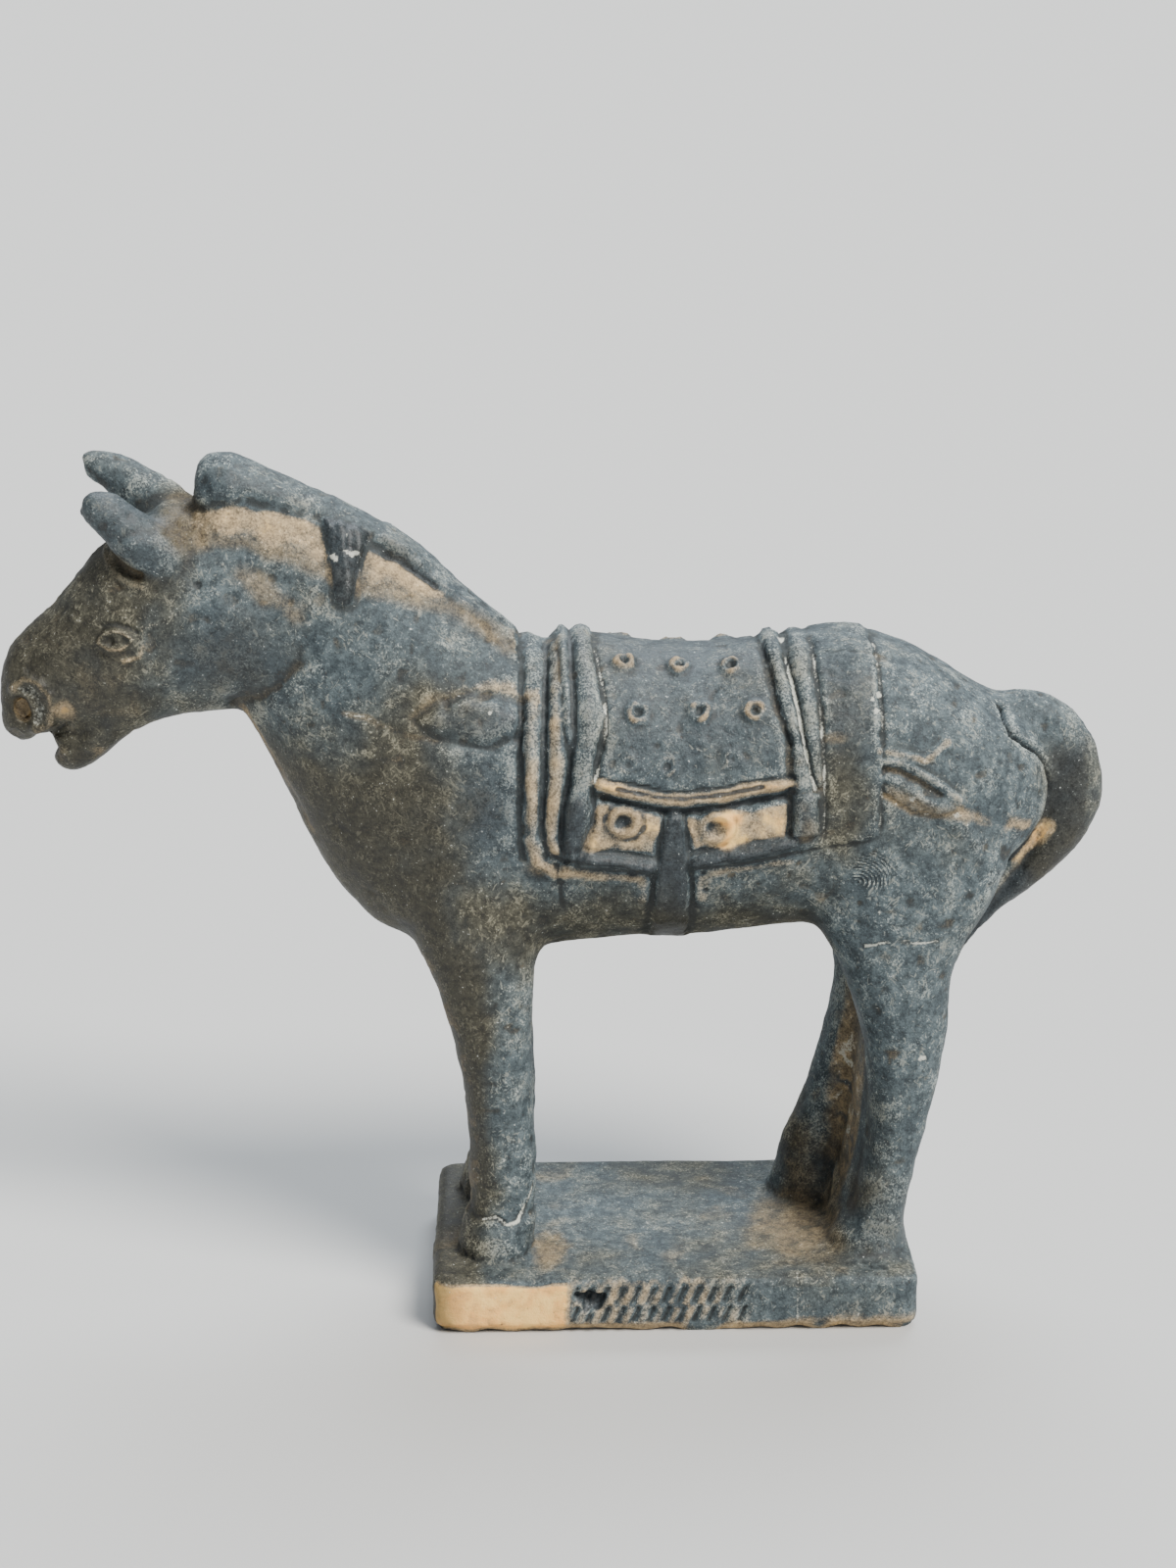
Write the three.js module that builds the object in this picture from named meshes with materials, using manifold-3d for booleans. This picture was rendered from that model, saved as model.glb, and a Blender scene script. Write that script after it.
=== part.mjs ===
// A small saddled horse of pressed clay, standing square on its plinth and made in one piece with it.
// Units are millimetres and +Z is up. The head is towards -X, and the origin is the middle of the underside.
import * as THREE from "three";
import { mergeVertices } from "three/addons/utils/BufferGeometryUtils.js";
import Module from "manifold-3d";

const wasm = await Module();
wasm.setup();

// The horse, from the plinth's top to the crest of its mane. Its ribs and outlines are drawn on a grid that
// is 91 squares tall, and follow its height.
const HORSE_HEIGHT = 91;
const GRID_SQUARES = 91;
const SCALE = HORSE_HEIGHT / GRID_SQUARES;

// The plinth, which reaches past the hooves at the rear end and on each side
const PLINTH_HEIGHT = 6.8;
const PLINTH_END_MARGIN = 0.3;
const PLINTH_SIDE_MARGIN = 3.6;
const PLINTH_CORNER = 1.2;
const PLINTH_WORN_EDGE = 0.8;

// Heights of the raised work above the horse's skin
const CLOTH_RELIEF = 0.4;
const STRAP_RELIEF = 0.8;
const SEAT_RELIEF = 0.9;
const ROLL_RELIEF = 1.35;

// Stamped work
const STUD_RADIUS = 1.25;
const MEDALLION_RADIUS = 1.9;
const STUD_HEIGHT = 0.4;
const STUD_ROOT = 1.2;

// Strokes pressed into the plinth's front, and the pit broken into them. Their places are shares of its face.
const STROKE_DEPTH = 0.4;
const STROKE_WIDTH = 0.6;
const STROKE_SLANT = 22;
const STROKE_ROWS = 2;
const STROKES_IN_ROW = 12;
const STROKE_ROW_SHARE = 0.36;
const STROKE_LENGTH_SHARE = 0.29;
const STROKE_PITCH_SHARE = 0.0313;
const STROKES_MIDDLE_SHARE = -0.038;
const PIT_DEPTH = 1.1;
const PIT_WIDTH = 3.2;
const PIT_HEIGHT = 2.3;
const PIT_PLACE_SHARE = [-0.178, 0.59];

// How square the sections are, where 2 is an ellipse
const BODY_ROUNDNESS = 2.3;
const LIMB_ROUNDNESS = 2.2;

// Ribs. Each is [upper x, upper z, lower x, lower z, half width, middle y], with z from the plinth's top.
const trunkRibs = [
  [-34.6, 42.8, -34.6, 39.6, 3.4],
  [-32.6, 46.0, -32.6, 37.8, 7.4],
  [-28.4, 53.5, -28.4, 36.2, 10.8],
  [-22.0, 63.0, -22.0, 34.6, 12.0],
  [-14.0, 69.6, -14.0, 34.9, 12.4],
  [-5.0, 68.6, -5.0, 35.7, 12.7],
  [2.0, 68.0, 2.0, 36.0, 12.9],
  [10.0, 69.0, 10.0, 36.8, 12.7],
  [18.0, 71.0, 18.0, 37.6, 12.6],
  [25.0, 69.6, 25.0, 38.3, 12.8],
  [31.0, 66.2, 31.0, 40.0, 12.2],
  [36.0, 63.0, 36.0, 43.5, 10.2],
  [39.8, 60.4, 39.8, 47.0, 7.2],
  [42.0, 57.0, 42.0, 50.5, 3.4],
];
const neckRibs = [
  [-8.0, 66.0, -26.0, 33.5, 11.4],
  [-14.6, 69.0, -35.0, 38.0, 11.4],
  [-20.0, 71.8, -39.7, 44.6, 10.6],
  [-25.0, 76.0, -42.2, 50.2, 9.5],
  [-30.0, 80.0, -45.0, 56.2, 8.3],
  [-35.5, 83.6, -47.3, 60.8, 7.2],
  [-42.0, 86.2, -49.6, 65.0, 6.4],
  [-48.5, 87.4, -52.0, 69.0, 5.8],
  [-52.4, 86.2, -54.5, 74.0, 4.4],
];
const maneRibs = [
  [-52.2, 88.6, -52.0, 83.0, 2.4],
  [-51.4, 90.5, -51.2, 81.8, 3.8],
  [-48.2, 90.9, -48.8, 81.6, 4.3],
  [-43.6, 88.6, -45.0, 81.2, 4.3],
  [-38.3, 86.2, -40.2, 80.2, 4.3],
  [-33.1, 83.4, -35.0, 78.0, 4.3],
  [-27.5, 79.8, -29.6, 74.6, 4.3],
  [-21.5, 73.9, -24.0, 69.6, 4.2],
  [-16.5, 71.0, -18.0, 66.6, 3.6],
];
const headRibs = [
  [-46.5, 84.0, -43.5, 68.0, 5.2],
  [-53.5, 86.0, -47.8, 62.8, 7.0],
  [-59.8, 83.2, -51.8, 62.1, 7.2],
  [-64.7, 78.8, -56.2, 61.5, 6.6],
  [-68.1, 74.7, -60.6, 60.6, 5.7],
  [-71.1, 71.9, -64.8, 60.4, 5.1],
  [-73.2, 69.9, -68.6, 60.0, 4.8],
  [-74.3, 67.3, -71.8, 58.7, 4.4],
  [-74.6, 64.6, -74.3, 59.9, 2.8],
];
const jawRibs = [
  [-54.5, 69.0, -55.5, 61.8, 4.8],
  [-60.5, 65.0, -60.5, 59.9, 4.0],
  [-64.2, 61.8, -64.3, 56.7, 3.6],
  [-66.9, 60.4, -66.9, 55.2, 3.4],
  [-68.6, 59.8, -68.6, 55.7, 3.0],
  [-69.7, 59.2, -69.7, 57.2, 1.9],
];
const nearEarRibs = [
  [-52.3, 81.7, -55.5, 76.8, 2.5, -3.9],
  [-55.5, 83.8, -58.7, 78.4, 2.8, -4.2],
  [-58.9, 86.0, -61.4, 81.0, 2.4, -4.5],
  [-61.5, 87.6, -63.6, 83.4, 2.2, -4.8],
  [-63.6, 87.4, -64.8, 84.7, 1.5, -4.9],
];
const farEarRibs = [
  [-52.5, 85.0, -54.5, 79.5, 2.4, 3.9],
  [-56.3, 87.7, -58.5, 82.0, 2.7, 4.2],
  [-59.9, 89.4, -61.3, 84.8, 2.3, 4.5],
  [-63.0, 90.4, -64.2, 85.7, 2.1, 4.8],
  [-65.2, 90.1, -66.0, 87.2, 1.5, 4.9],
];
const tailRibs = [
  [35.0, 63.4, 35.4, 58.0, 2.6],
  [40.6, 63.6, 38.2, 58.4, 2.9],
  [45.1, 61.5, 39.9, 56.8, 3.1],
  [48.2, 56.4, 41.2, 54.0, 3.2],
  [48.7, 50.8, 41.3, 50.6, 3.2],
  [46.4, 45.8, 40.3, 47.7, 3.0],
  [42.2, 41.6, 38.0, 44.0, 2.6],
  [37.8, 38.1, 34.8, 40.6, 2.3],
  [34.4, 34.4, 31.6, 36.6, 2.0],
  [32.4, 30.3, 30.4, 31.4, 1.3],
];

// Ribs of a leg lie level. Each is [z, front x, rear x, half width, distance from the middle plane].
const frontLegRibs = [
  [58.0, -25.0, -17.0, 3.6, 6.0],
  [51.0, -28.4, -14.8, 5.5, 6.2],
  [43.0, -30.6, -14.2, 5.6, 6.4],
  [36.0, -29.1, -15.2, 5.2, 6.9],
  [32.5, -27.2, -15.8, 4.9, 7.2],
  [28.5, -26.0, -16.0, 4.6, 7.4],
  [24.0, -24.8, -16.0, 4.3, 7.5],
  [18.0, -23.9, -15.8, 4.1, 7.5],
  [11.0, -23.4, -15.6, 4.0, 7.5],
  [4.8, -23.3, -15.8, 4.0, 7.6],
  [3.5, -23.9, -16.3, 4.8, 7.9],
  [-1.0, -24.6, -16.6, 5.3, 8.0],
];
const nearHindLegRibs = [
  [64.0, 20.0, 29.0, 3.6, 5.0],
  [57.0, 15.4, 34.4, 5.9, 6.0],
  [49.0, 13.4, 37.6, 6.7, 6.3],
  [42.0, 14.2, 36.2, 6.3, 6.8],
  [37.0, 16.6, 32.8, 5.6, 7.2],
  [33.0, 18.9, 31.2, 5.1, 7.4],
  [26.0, 21.2, 30.9, 4.6, 7.5],
  [20.0, 22.0, 30.2, 4.3, 7.5],
  [14.0, 22.2, 28.6, 4.1, 7.5],
  [7.0, 21.4, 27.2, 4.0, 7.6],
  [3.4, 20.2, 26.4, 4.4, 7.8],
  [1.8, 18.4, 26.8, 5.0, 7.9],
  [-1.0, 17.2, 27.2, 5.4, 8.0],
];
const farHindLegRibs = [
  [64.0, 20.0, 29.0, 3.6, 5.0],
  [57.0, 15.4, 34.4, 5.9, 6.0],
  [49.0, 13.4, 37.6, 6.7, 6.3],
  [42.0, 14.2, 36.0, 6.3, 6.8],
  [37.0, 16.8, 32.8, 5.6, 7.2],
  [31.0, 19.2, 30.8, 5.0, 7.4],
  [26.0, 19.4, 29.4, 4.6, 7.5],
  [18.0, 17.6, 26.4, 4.3, 7.5],
  [11.0, 15.6, 24.2, 4.1, 7.5],
  [7.6, 14.0, 23.6, 4.3, 7.6],
  [3.0, 12.8, 24.2, 4.9, 7.8],
  [-1.0, 11.8, 25.0, 5.4, 7.8],
];
// Clay left standing between the legs of each pair
const frontWebRibs = [
  [38.0, -27.0, -18.0, 8.0, 0],
  [26.0, -23.6, -18.6, 7.8, 0],
  [12.0, -22.4, -18.2, 7.8, 0],
  [-1.0, -23.4, -17.6, 8.0, 0],
];
const hindWebRibs = [
  [40.0, 20.0, 31.0, 8.0, 0],
  [26.0, 22.0, 27.6, 7.8, 0],
  [12.0, 21.0, 25.6, 7.8, 0],
  [-1.0, 18.0, 26.4, 8.0, 0],
];

// The plinth's size comes from where the hooves stand
const hooves = [frontLegRibs, nearHindLegRibs, farHindLegRibs].map((ribs) => ribs[ribs.length - 1]);
const REAR_STANCE = Math.max(...hooves.map(([, , rear]) => rear)) * SCALE;
const SIDE_STANCE = Math.max(...hooves.map(([, , , half, out]) => half + out)) * SCALE;
const PLINTH_LENGTH = 2 * (REAR_STANCE + PLINTH_END_MARGIN);
const PLINTH_DEPTH = 2 * (SIDE_STANCE + PLINTH_SIDE_MARGIN);

// Solids

function solid(geometry) {
  geometry.deleteAttribute("normal");
  geometry.deleteAttribute("uv");
  const merged = mergeVertices(geometry, 1e-4);
  const vertProperties = new Float32Array(merged.getAttribute("position").array);
  const triVerts = new Uint32Array(merged.index.array);
  const made = new wasm.Manifold(new wasm.Mesh({ numProp: 3, vertProperties, triVerts }));
  if (made.volume() > 0) return made;
  return new wasm.Manifold(new wasm.Mesh({ numProp: 3, vertProperties, triVerts: triVerts.reverse() }));
}

function join(solids) {
  return solids.reduce((whole, piece) => whole.add(piece));
}

const sidePoint = (x, z, y = 0) =>
  new THREE.Vector3(x * SCALE, y * SCALE, PLINTH_HEIGHT + z * SCALE);

const smoothThrough = (points) => new THREE.CatmullRomCurve3(points, false, "catmullrom", 0.5);

// The upper line, lower line and half width of a form, as curves along its ribs
function lines(ribs) {
  return {
    upper: smoothThrough(ribs.map(([ux, uz, , , , y]) => sidePoint(ux, uz, y))),
    lower: smoothThrough(ribs.map(([, , lx, lz, , y]) => sidePoint(lx, lz, y))),
    width: smoothThrough(ribs.map(([, , , , half]) => new THREE.Vector3(half * SCALE, 0, 0))),
  };
}

// The point of a form's skin at a share of its length and an angle from its near side, grown outwards
function skin({ upper, lower, width }, share, angle, roundness, grow, reach = 1) {
  const top = upper.getPoint(share);
  const bottom = lower.getPoint(share);
  const half = top.clone().sub(bottom).multiplyScalar(0.5);
  const middle = top.add(bottom).multiplyScalar(0.5);
  const swell = (value) => Math.sign(value) * Math.abs(value) ** (2 / roundness);
  half.setLength(half.length() + grow).multiplyScalar(swell(Math.sin(angle)) * reach);
  middle.add(half);
  middle.y -= (width.getPoint(share).x + grow) * swell(Math.cos(angle)) * reach;
  return middle;
}

// A closed form through its ribs: a cylinder whose rings are laid on the ribs
function loft(ribs, sides, rings, grow = 0, roundness = LIMB_ROUNDNESS) {
  const form = lines(ribs);
  const geometry = new THREE.CylinderGeometry(1, 1, 1, sides, rings);
  const position = geometry.getAttribute("position");
  for (let i = 0; i < position.count; i += 1) {
    const across = position.getX(i);
    const up = position.getZ(i);
    const share = position.getY(i) + 0.5;
    const reach = Math.min(1, Math.hypot(across, up));
    const point = skin(form, share, Math.atan2(up, across), roundness, grow, reach);
    position.setXYZ(i, point.x, point.y, point.z);
  }
  return solid(geometry);
}

// A leg's level ribs, as ribs of a form on the near side (-1), the far side (1) or the middle plane
const legRibs = (ribs, side) =>
  ribs.map(([z, front, rear, half, out]) => [front, z, rear, z, half, out * side]);

function ellipsoid(x, z, y, radii, tilt = 0, sides = 16) {
  const geometry = new THREE.SphereGeometry(1, sides, sides / 2);
  geometry.scale(radii[0] * SCALE, radii[1] * SCALE, radii[2] * SCALE);
  geometry.rotateY(THREE.MathUtils.degToRad(tilt));
  const centre = sidePoint(x, z, y);
  geometry.translate(centre.x, centre.y, centre.z);
  return solid(geometry);
}

// A side outline pushed right through the horse, as a tool to keep or cut what lies behind it
function through(outline) {
  const shape = new THREE.Shape();
  outline.forEach(([x, z], i) => {
    const { x: px, z: pz } = sidePoint(x, z);
    if (i === 0) shape.moveTo(px, pz);
    else shape.lineTo(px, pz);
  });
  const depth = 2 * PLINTH_DEPTH;
  const geometry = new THREE.ExtrudeGeometry(shape, { depth, bevelEnabled: false });
  geometry.rotateX(Math.PI / 2);
  geometry.translate(0, depth / 2, 0);
  return solid(geometry);
}

// A band of even width that follows a line of side points
function band(points, width) {
  const line = new THREE.SplineCurve(points.map(([x, z]) => new THREE.Vector2(x, z)));
  const steps = 2 * (points.length - 1);
  const edge = (sign) =>
    Array.from({ length: steps + 1 }, (_, i) => {
      const { x, y } = line.getPoint(i / steps);
      const along = line.getTangent(i / steps);
      return [x - (along.y * sign * width) / 2, y + (along.x * sign * width) / 2];
    });
  return [...edge(1), ...edge(-1).reverse()];
}

// The horse's body, grown outwards for the work raised on it

function trunk(grow) {
  return loft(trunkRibs, 26, 22, grow, BODY_ROUNDNESS);
}

function neck(grow) {
  return loft(neckRibs, 18, 9, grow);
}

function mane(grow) {
  return loft(maneRibs, 10, 11, grow);
}

function legs(grow) {
  return [
    loft(legRibs(frontLegRibs, -1), 10, 14, grow),
    loft(legRibs(frontLegRibs, 1), 10, 14, grow),
    loft(legRibs(nearHindLegRibs, -1), 10, 14, grow),
    loft(legRibs(farHindLegRibs, 1), 10, 14, grow),
  ];
}

function head() {
  const cheek = ellipsoid(-49.4, 72.4, 0, [9.4, 8.2, 9.8], 20, 14);
  return loft(headRibs, 16, 12).add(cheek).add(loft(jawRibs, 8, 8));
}

function ears() {
  return [loft(nearEarRibs, 8, 6), loft(farEarRibs, 8, 6)];
}

// Eyes and nostrils, on both sides of the head. Each is [x, z, y, half sizes, tilt].
const EYEBALL = [-60.5, 71.8, 5.9, [1.6, 1.1, 1.0], -12];
const EYE_RIM = [-60.5, 71.8, 6.15, [1.95, 0.42, 1.2], -12];
const NOSTRIL_HOLE = [-72.0, 63.0, 4.4, [0.9, 1.3, 1.4], -20];
const NOSTRIL_RIM = [-70.9, 64.2, 4.2, [1.9, 0.5, 2.4], -20];

function faceRim(x, z, y, radii, tilt) {
  const geometry = new THREE.TorusGeometry(1, radii[1], 4, 8);
  geometry.rotateX(Math.PI / 2);
  geometry.scale(radii[0] * SCALE, SCALE, radii[2] * SCALE);
  geometry.rotateY(THREE.MathUtils.degToRad(tilt));
  const centre = sidePoint(x, z, y);
  geometry.translate(centre.x, centre.y, centre.z);
  return solid(geometry);
}

function face(horse) {
  const onSide = (form, side, [x, z, y, radii, tilt]) => form(x, z, y * side, radii, tilt);
  const ball = (...place) => ellipsoid(...place, 6);
  return [-1, 1].reduce(
    (carved, side) =>
      carved
        .add(onSide(faceRim, side, EYE_RIM))
        .add(onSide(ball, side, EYEBALL))
        .add(onSide(faceRim, side, NOSTRIL_RIM))
        .subtract(onSide(ball, side, NOSTRIL_HOLE)),
    horse,
  );
}

// Saddle and harness, as side outlines of [x, z] with z from the plinth's top

const clothOutline = [
  [-16.8, 80],
  [-16.9, 62],
  [-16.2, 50],
  [-12.6, 47.4],
  [-2, 46.8],
  [12, 48.8],
  [21.6, 50.6],
  [22.0, 58],
  [21.6, 68],
  [19.4, 80],
];
const seatOutline = [
  [-10.2, 80.0],
  [-9.4, 68.6],
  [-8.4, 63.5],
  [-9.2, 57.7],
  [-5.7, 56.9],
  [-0.4, 55.9],
  [2.8, 56.2],
  [7.0, 57.0],
  [12.6, 57.6],
  [12.0, 61.0],
  [9.8, 69.0],
  [9.2, 80.0],
];
const pommelOutline = [
  [-13.4, 80.0],
  [-13.3, 69.8],
  [-12.7, 62.0],
  [-12.0, 56.6],
  [-13.1, 53.4],
  [-13.4, 50.5],
  [-12.6, 48.3],
  [-11.0, 48.1],
  [-9.3, 51.9],
  [-8.9, 58.5],
  [-7.6, 63.5],
  [-8.8, 68.6],
  [-9.8, 80.0],
];
const cantleOutline = [
  [8.6, 80.0],
  [9.4, 69.5],
  [10.2, 66.0],
  [11.9, 61.0],
  [12.2, 55.3],
  [12.1, 50.6],
  [15.6, 50.8],
  [15.2, 55.5],
  [13.6, 60.3],
  [13.0, 63.9],
  [12.1, 68.0],
  [11.0, 80.0],
];
const girthOutline = [
  [-1.5, 54.0],
  [0.3, 54.0],
  [1.2, 48.0],
  [1.5, 36.6],
  [-3.2, 36.6],
  [-2.5, 47.0],
];
const leafOutline = [
  [-28.5, 63.3],
  [-25.8, 65.0],
  [-22.6, 65.6],
  [-18.9, 64.9],
  [-16.4, 64.2],
  [-16.4, 62.1],
  [-20.5, 60.6],
  [-23.7, 60.9],
  [-26.9, 61.9],
];
const hangingLockOutline = [
  [-39.0, 84.4],
  [-37.9, 80.4],
  [-37.5, 78.0],
  [-36.6, 76.0],
  [-35.5, 77.4],
  [-34.6, 79.6],
  [-33.8, 82.4],
];
const backLockOutline = [
  [-33.4, 81.8],
  [-31.0, 80.5],
  [-26.5, 77.0],
  [-23.7, 74.5],
  [-20.2, 71.5],
  [-18.6, 70.0],
  [-18.6, 71.0],
  [-22.5, 74.4],
  [-27.5, 78.6],
  [-32.0, 82.2],
];
const breastStrap = band(
  [
    [-15.8, 66.0],
    [-15.6, 60.0],
    [-15.4, 53.0],
    [-14.8, 50.0],
    [-12.6, 48.2],
  ],
  1.3,
);
const flapRoll = band(
  [
    [-11.0, 48.3],
    [-6.6, 48.0],
    [-3.6, 47.5],
    [2.0, 48.3],
    [12.4, 49.9],
  ],
  1.4,
);
const crupper = band(
  [
    [21.6, 58.6],
    [24.0, 58.2],
    [26.4, 57.0],
    [31.2, 53.4],
  ],
  1.8,
);

function raise(horse, work) {
  return work.reduce((carved, [height, outlines]) => {
    const grown = join([trunk(height), neck(height), mane(height), ...legs(height)]);
    return outlines.reduce((all, outline) => all.add(grown.intersect(through(outline))), carved);
  }, horse);
}

function saddlery(horse) {
  return raise(horse, [
    [CLOTH_RELIEF, [clothOutline]],
    [STRAP_RELIEF, [breastStrap, girthOutline, leafOutline, crupper]],
    [SEAT_RELIEF, [seatOutline, hangingLockOutline, backLockOutline]],
    [ROLL_RELIEF, [pommelOutline, cantleOutline, flapRoll]],
  ]);
}

// Round studs, turned out from the horse's side by their angle from level

function stud(radius) {
  const profile = [
    [0, -STUD_ROOT],
    [radius, -STUD_ROOT],
    [radius, STUD_HEIGHT * 0.5],
    [radius * 0.6, STUD_HEIGHT],
    [0, STUD_HEIGHT * 0.6],
  ];
  return new THREE.LatheGeometry(profile.map(([r, h]) => new THREE.Vector2(r, h)), 6);
}

function placeStud(x, angle, radius, grow, side) {
  const form = lines(trunkRibs);
  let low = 0;
  let high = 1;
  while (high - low > 1e-4) {
    const share = (low + high) / 2;
    if (form.upper.getPoint(share).x < x * SCALE) low = share;
    else high = share;
  }
  const turn = THREE.MathUtils.degToRad(angle);
  const at = (by) => skin(form, low, turn + by, BODY_ROUNDNESS, grow);
  const along = at(0.01).sub(at(-0.01)).normalize();
  const outwards = along.clone().cross(new THREE.Vector3(1, 0, 0));
  const point = at(0);
  if (outwards.y > 0) outwards.negate();
  outwards.y *= -side;
  point.y *= -side;
  const geometry = stud(radius);
  geometry.applyQuaternion(
    new THREE.Quaternion().setFromUnitVectors(new THREE.Vector3(0, 1, 0), outwards),
  );
  geometry.translate(point.x, point.y, point.z);
  return solid(geometry);
}

// Each row of studs: its angle from level, and where along the horse its studs are
const studRows = [
  { angle: 71, places: [-6.0, 0.4, 6.1], radius: STUD_RADIUS, ground: SEAT_RELIEF },
  { angle: 46, places: [-4.4, 2.2, 8.5], radius: STUD_RADIUS, ground: SEAT_RELIEF },
  { angle: 3, places: [-5.3, 4.1], radius: MEDALLION_RADIUS, ground: CLOTH_RELIEF },
];

function studs() {
  return studRows.flatMap(({ angle, places, radius, ground }) =>
    [-1, 1].flatMap((side) => places.map((x) => placeStud(x, angle, radius, ground, side))),
  );
}

// Plinth, with rows of short strokes pressed into its front

function plinth() {
  const halfLength = PLINTH_LENGTH / 2 - PLINTH_WORN_EDGE;
  const halfDepth = PLINTH_DEPTH / 2 - PLINTH_WORN_EDGE;
  const shape = new THREE.Shape();
  shape.moveTo(-halfLength + PLINTH_CORNER, -halfDepth);
  shape.absarc(halfLength - PLINTH_CORNER, -halfDepth + PLINTH_CORNER, PLINTH_CORNER, -Math.PI / 2, 0);
  shape.absarc(halfLength - PLINTH_CORNER, halfDepth - PLINTH_CORNER, PLINTH_CORNER, 0, Math.PI / 2);
  shape.absarc(-halfLength + PLINTH_CORNER, halfDepth - PLINTH_CORNER, PLINTH_CORNER, Math.PI / 2, Math.PI);
  shape.absarc(
    -halfLength + PLINTH_CORNER,
    -halfDepth + PLINTH_CORNER,
    PLINTH_CORNER,
    Math.PI,
    1.5 * Math.PI,
  );
  const geometry = new THREE.ExtrudeGeometry(shape, {
    depth: PLINTH_HEIGHT - 2 * PLINTH_WORN_EDGE,
    curveSegments: 3,
    bevelThickness: PLINTH_WORN_EDGE,
    bevelSize: PLINTH_WORN_EDGE,
    bevelSegments: 2,
  });
  geometry.translate(0, 0, PLINTH_WORN_EDGE);
  return solid(geometry);
}

function strokes() {
  const length = STROKE_LENGTH_SHARE * PLINTH_HEIGHT;
  const pitch = STROKE_PITCH_SHARE * PLINTH_LENGTH;
  const rowPitch = STROKE_ROW_SHARE * PLINTH_HEIGHT;
  const cuts = [];
  for (let row = 0; row < STROKE_ROWS; row += 1) {
    for (let i = 0; i < STROKES_IN_ROW; i += 1) {
      const geometry = new THREE.BoxGeometry(STROKE_WIDTH, 2 * STROKE_DEPTH, length);
      geometry.rotateY(THREE.MathUtils.degToRad(STROKE_SLANT));
      geometry.translate(
        STROKES_MIDDLE_SHARE * PLINTH_LENGTH + (i - (STROKES_IN_ROW - 1) / 2) * pitch,
        -PLINTH_DEPTH / 2,
        PLINTH_HEIGHT / 2 + (row - (STROKE_ROWS - 1) / 2) * rowPitch,
      );
      cuts.push(solid(geometry));
    }
  }
  const pit = new THREE.SphereGeometry(1, 7, 4);
  pit.scale(PIT_WIDTH / 2, PIT_DEPTH, PIT_HEIGHT / 2);
  pit.translate(
    PIT_PLACE_SHARE[0] * PLINTH_LENGTH,
    -PLINTH_DEPTH / 2,
    PIT_PLACE_SHARE[1] * PLINTH_HEIGHT,
  );
  return join([...cuts, solid(pit)]);
}

// The whole figure

function meshOf(name, made, material) {
  const { numProp, numVert, vertProperties, triVerts } = made.getMesh();
  const positions = new Float32Array(numVert * 3);
  for (let i = 0; i < numVert; i += 1) {
    positions.set(vertProperties.subarray(i * numProp, i * numProp + 3), i * 3);
  }
  const geometry = new THREE.BufferGeometry();
  geometry.setAttribute("position", new THREE.BufferAttribute(positions, 3));
  geometry.setIndex(new THREE.BufferAttribute(triVerts, 1));
  geometry.computeVertexNormals();
  const mesh = new THREE.Mesh(geometry, material);
  mesh.name = name;
  return mesh;
}

const body = join([
  trunk(0),
  neck(0),
  ...legs(0),
  loft(legRibs(frontWebRibs, 1), 8, 5),
  loft(legRibs(hindWebRibs, 1), 8, 5),
  mane(0),
  head(),
  ...ears(),
  loft(tailRibs, 10, 13),
]);
const horse = face(join([saddlery(body), ...studs()]));
const figure = horse.add(plinth()).subtract(strokes());

const smokedClay = new THREE.MeshStandardMaterial({ color: "#4d5459", roughness: 0.85, metalness: 0 });

const group = new THREE.Group();
group.add(meshOf("horse", figure, smokedClay));
export default group;
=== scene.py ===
import math

import bmesh
import bpy
import numpy as np
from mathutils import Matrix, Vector, noise
from mathutils.bvhtree import BVHTree


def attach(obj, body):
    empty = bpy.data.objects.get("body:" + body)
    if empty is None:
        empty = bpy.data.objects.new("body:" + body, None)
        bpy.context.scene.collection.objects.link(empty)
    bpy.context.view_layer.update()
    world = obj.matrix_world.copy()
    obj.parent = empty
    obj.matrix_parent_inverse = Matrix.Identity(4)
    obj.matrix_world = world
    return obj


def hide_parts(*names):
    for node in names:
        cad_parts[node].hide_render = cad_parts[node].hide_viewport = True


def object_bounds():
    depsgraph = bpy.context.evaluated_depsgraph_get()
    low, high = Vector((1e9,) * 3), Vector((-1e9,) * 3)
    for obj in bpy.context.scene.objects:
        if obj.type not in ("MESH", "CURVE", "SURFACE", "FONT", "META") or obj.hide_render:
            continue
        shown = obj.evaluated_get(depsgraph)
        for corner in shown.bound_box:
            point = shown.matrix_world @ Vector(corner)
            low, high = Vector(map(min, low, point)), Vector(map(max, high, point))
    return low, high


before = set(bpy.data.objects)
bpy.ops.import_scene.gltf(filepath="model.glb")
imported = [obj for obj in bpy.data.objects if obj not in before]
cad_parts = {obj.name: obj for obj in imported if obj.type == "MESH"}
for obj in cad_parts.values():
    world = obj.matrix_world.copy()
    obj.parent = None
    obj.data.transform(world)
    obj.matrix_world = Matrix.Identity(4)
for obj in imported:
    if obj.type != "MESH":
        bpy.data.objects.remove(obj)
cad_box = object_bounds()

# The horse and its plinth: one piece of fired clay, pressed in a two-part mould.
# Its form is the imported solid, gone over with a wet hand so that no flat is left. The saddlery
# is first pared away here, to be pressed on again below with its own lines.
MM = 0.001
CLAY_GRID = 0.68 * MM

# The plinth's top and front, the trunk's lowest point and middle, and how far the saddlery
# stands up from the body, in mm
PLINTH_TOP = 6.8
PLINTH_FACE = -17.0
TRUNK_LOW = 42.5
TRUNK_MIDDLE = 59.4
TRUNK_HALF_WIDTH = 12.7
TRUNK_HALF_HEIGHT = 16.5
CLOTH_RISE = 0.4
STRAP_RISE = 0.8
SEAT_RISE = 0.9
ROLL_RISE = 1.35

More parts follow.
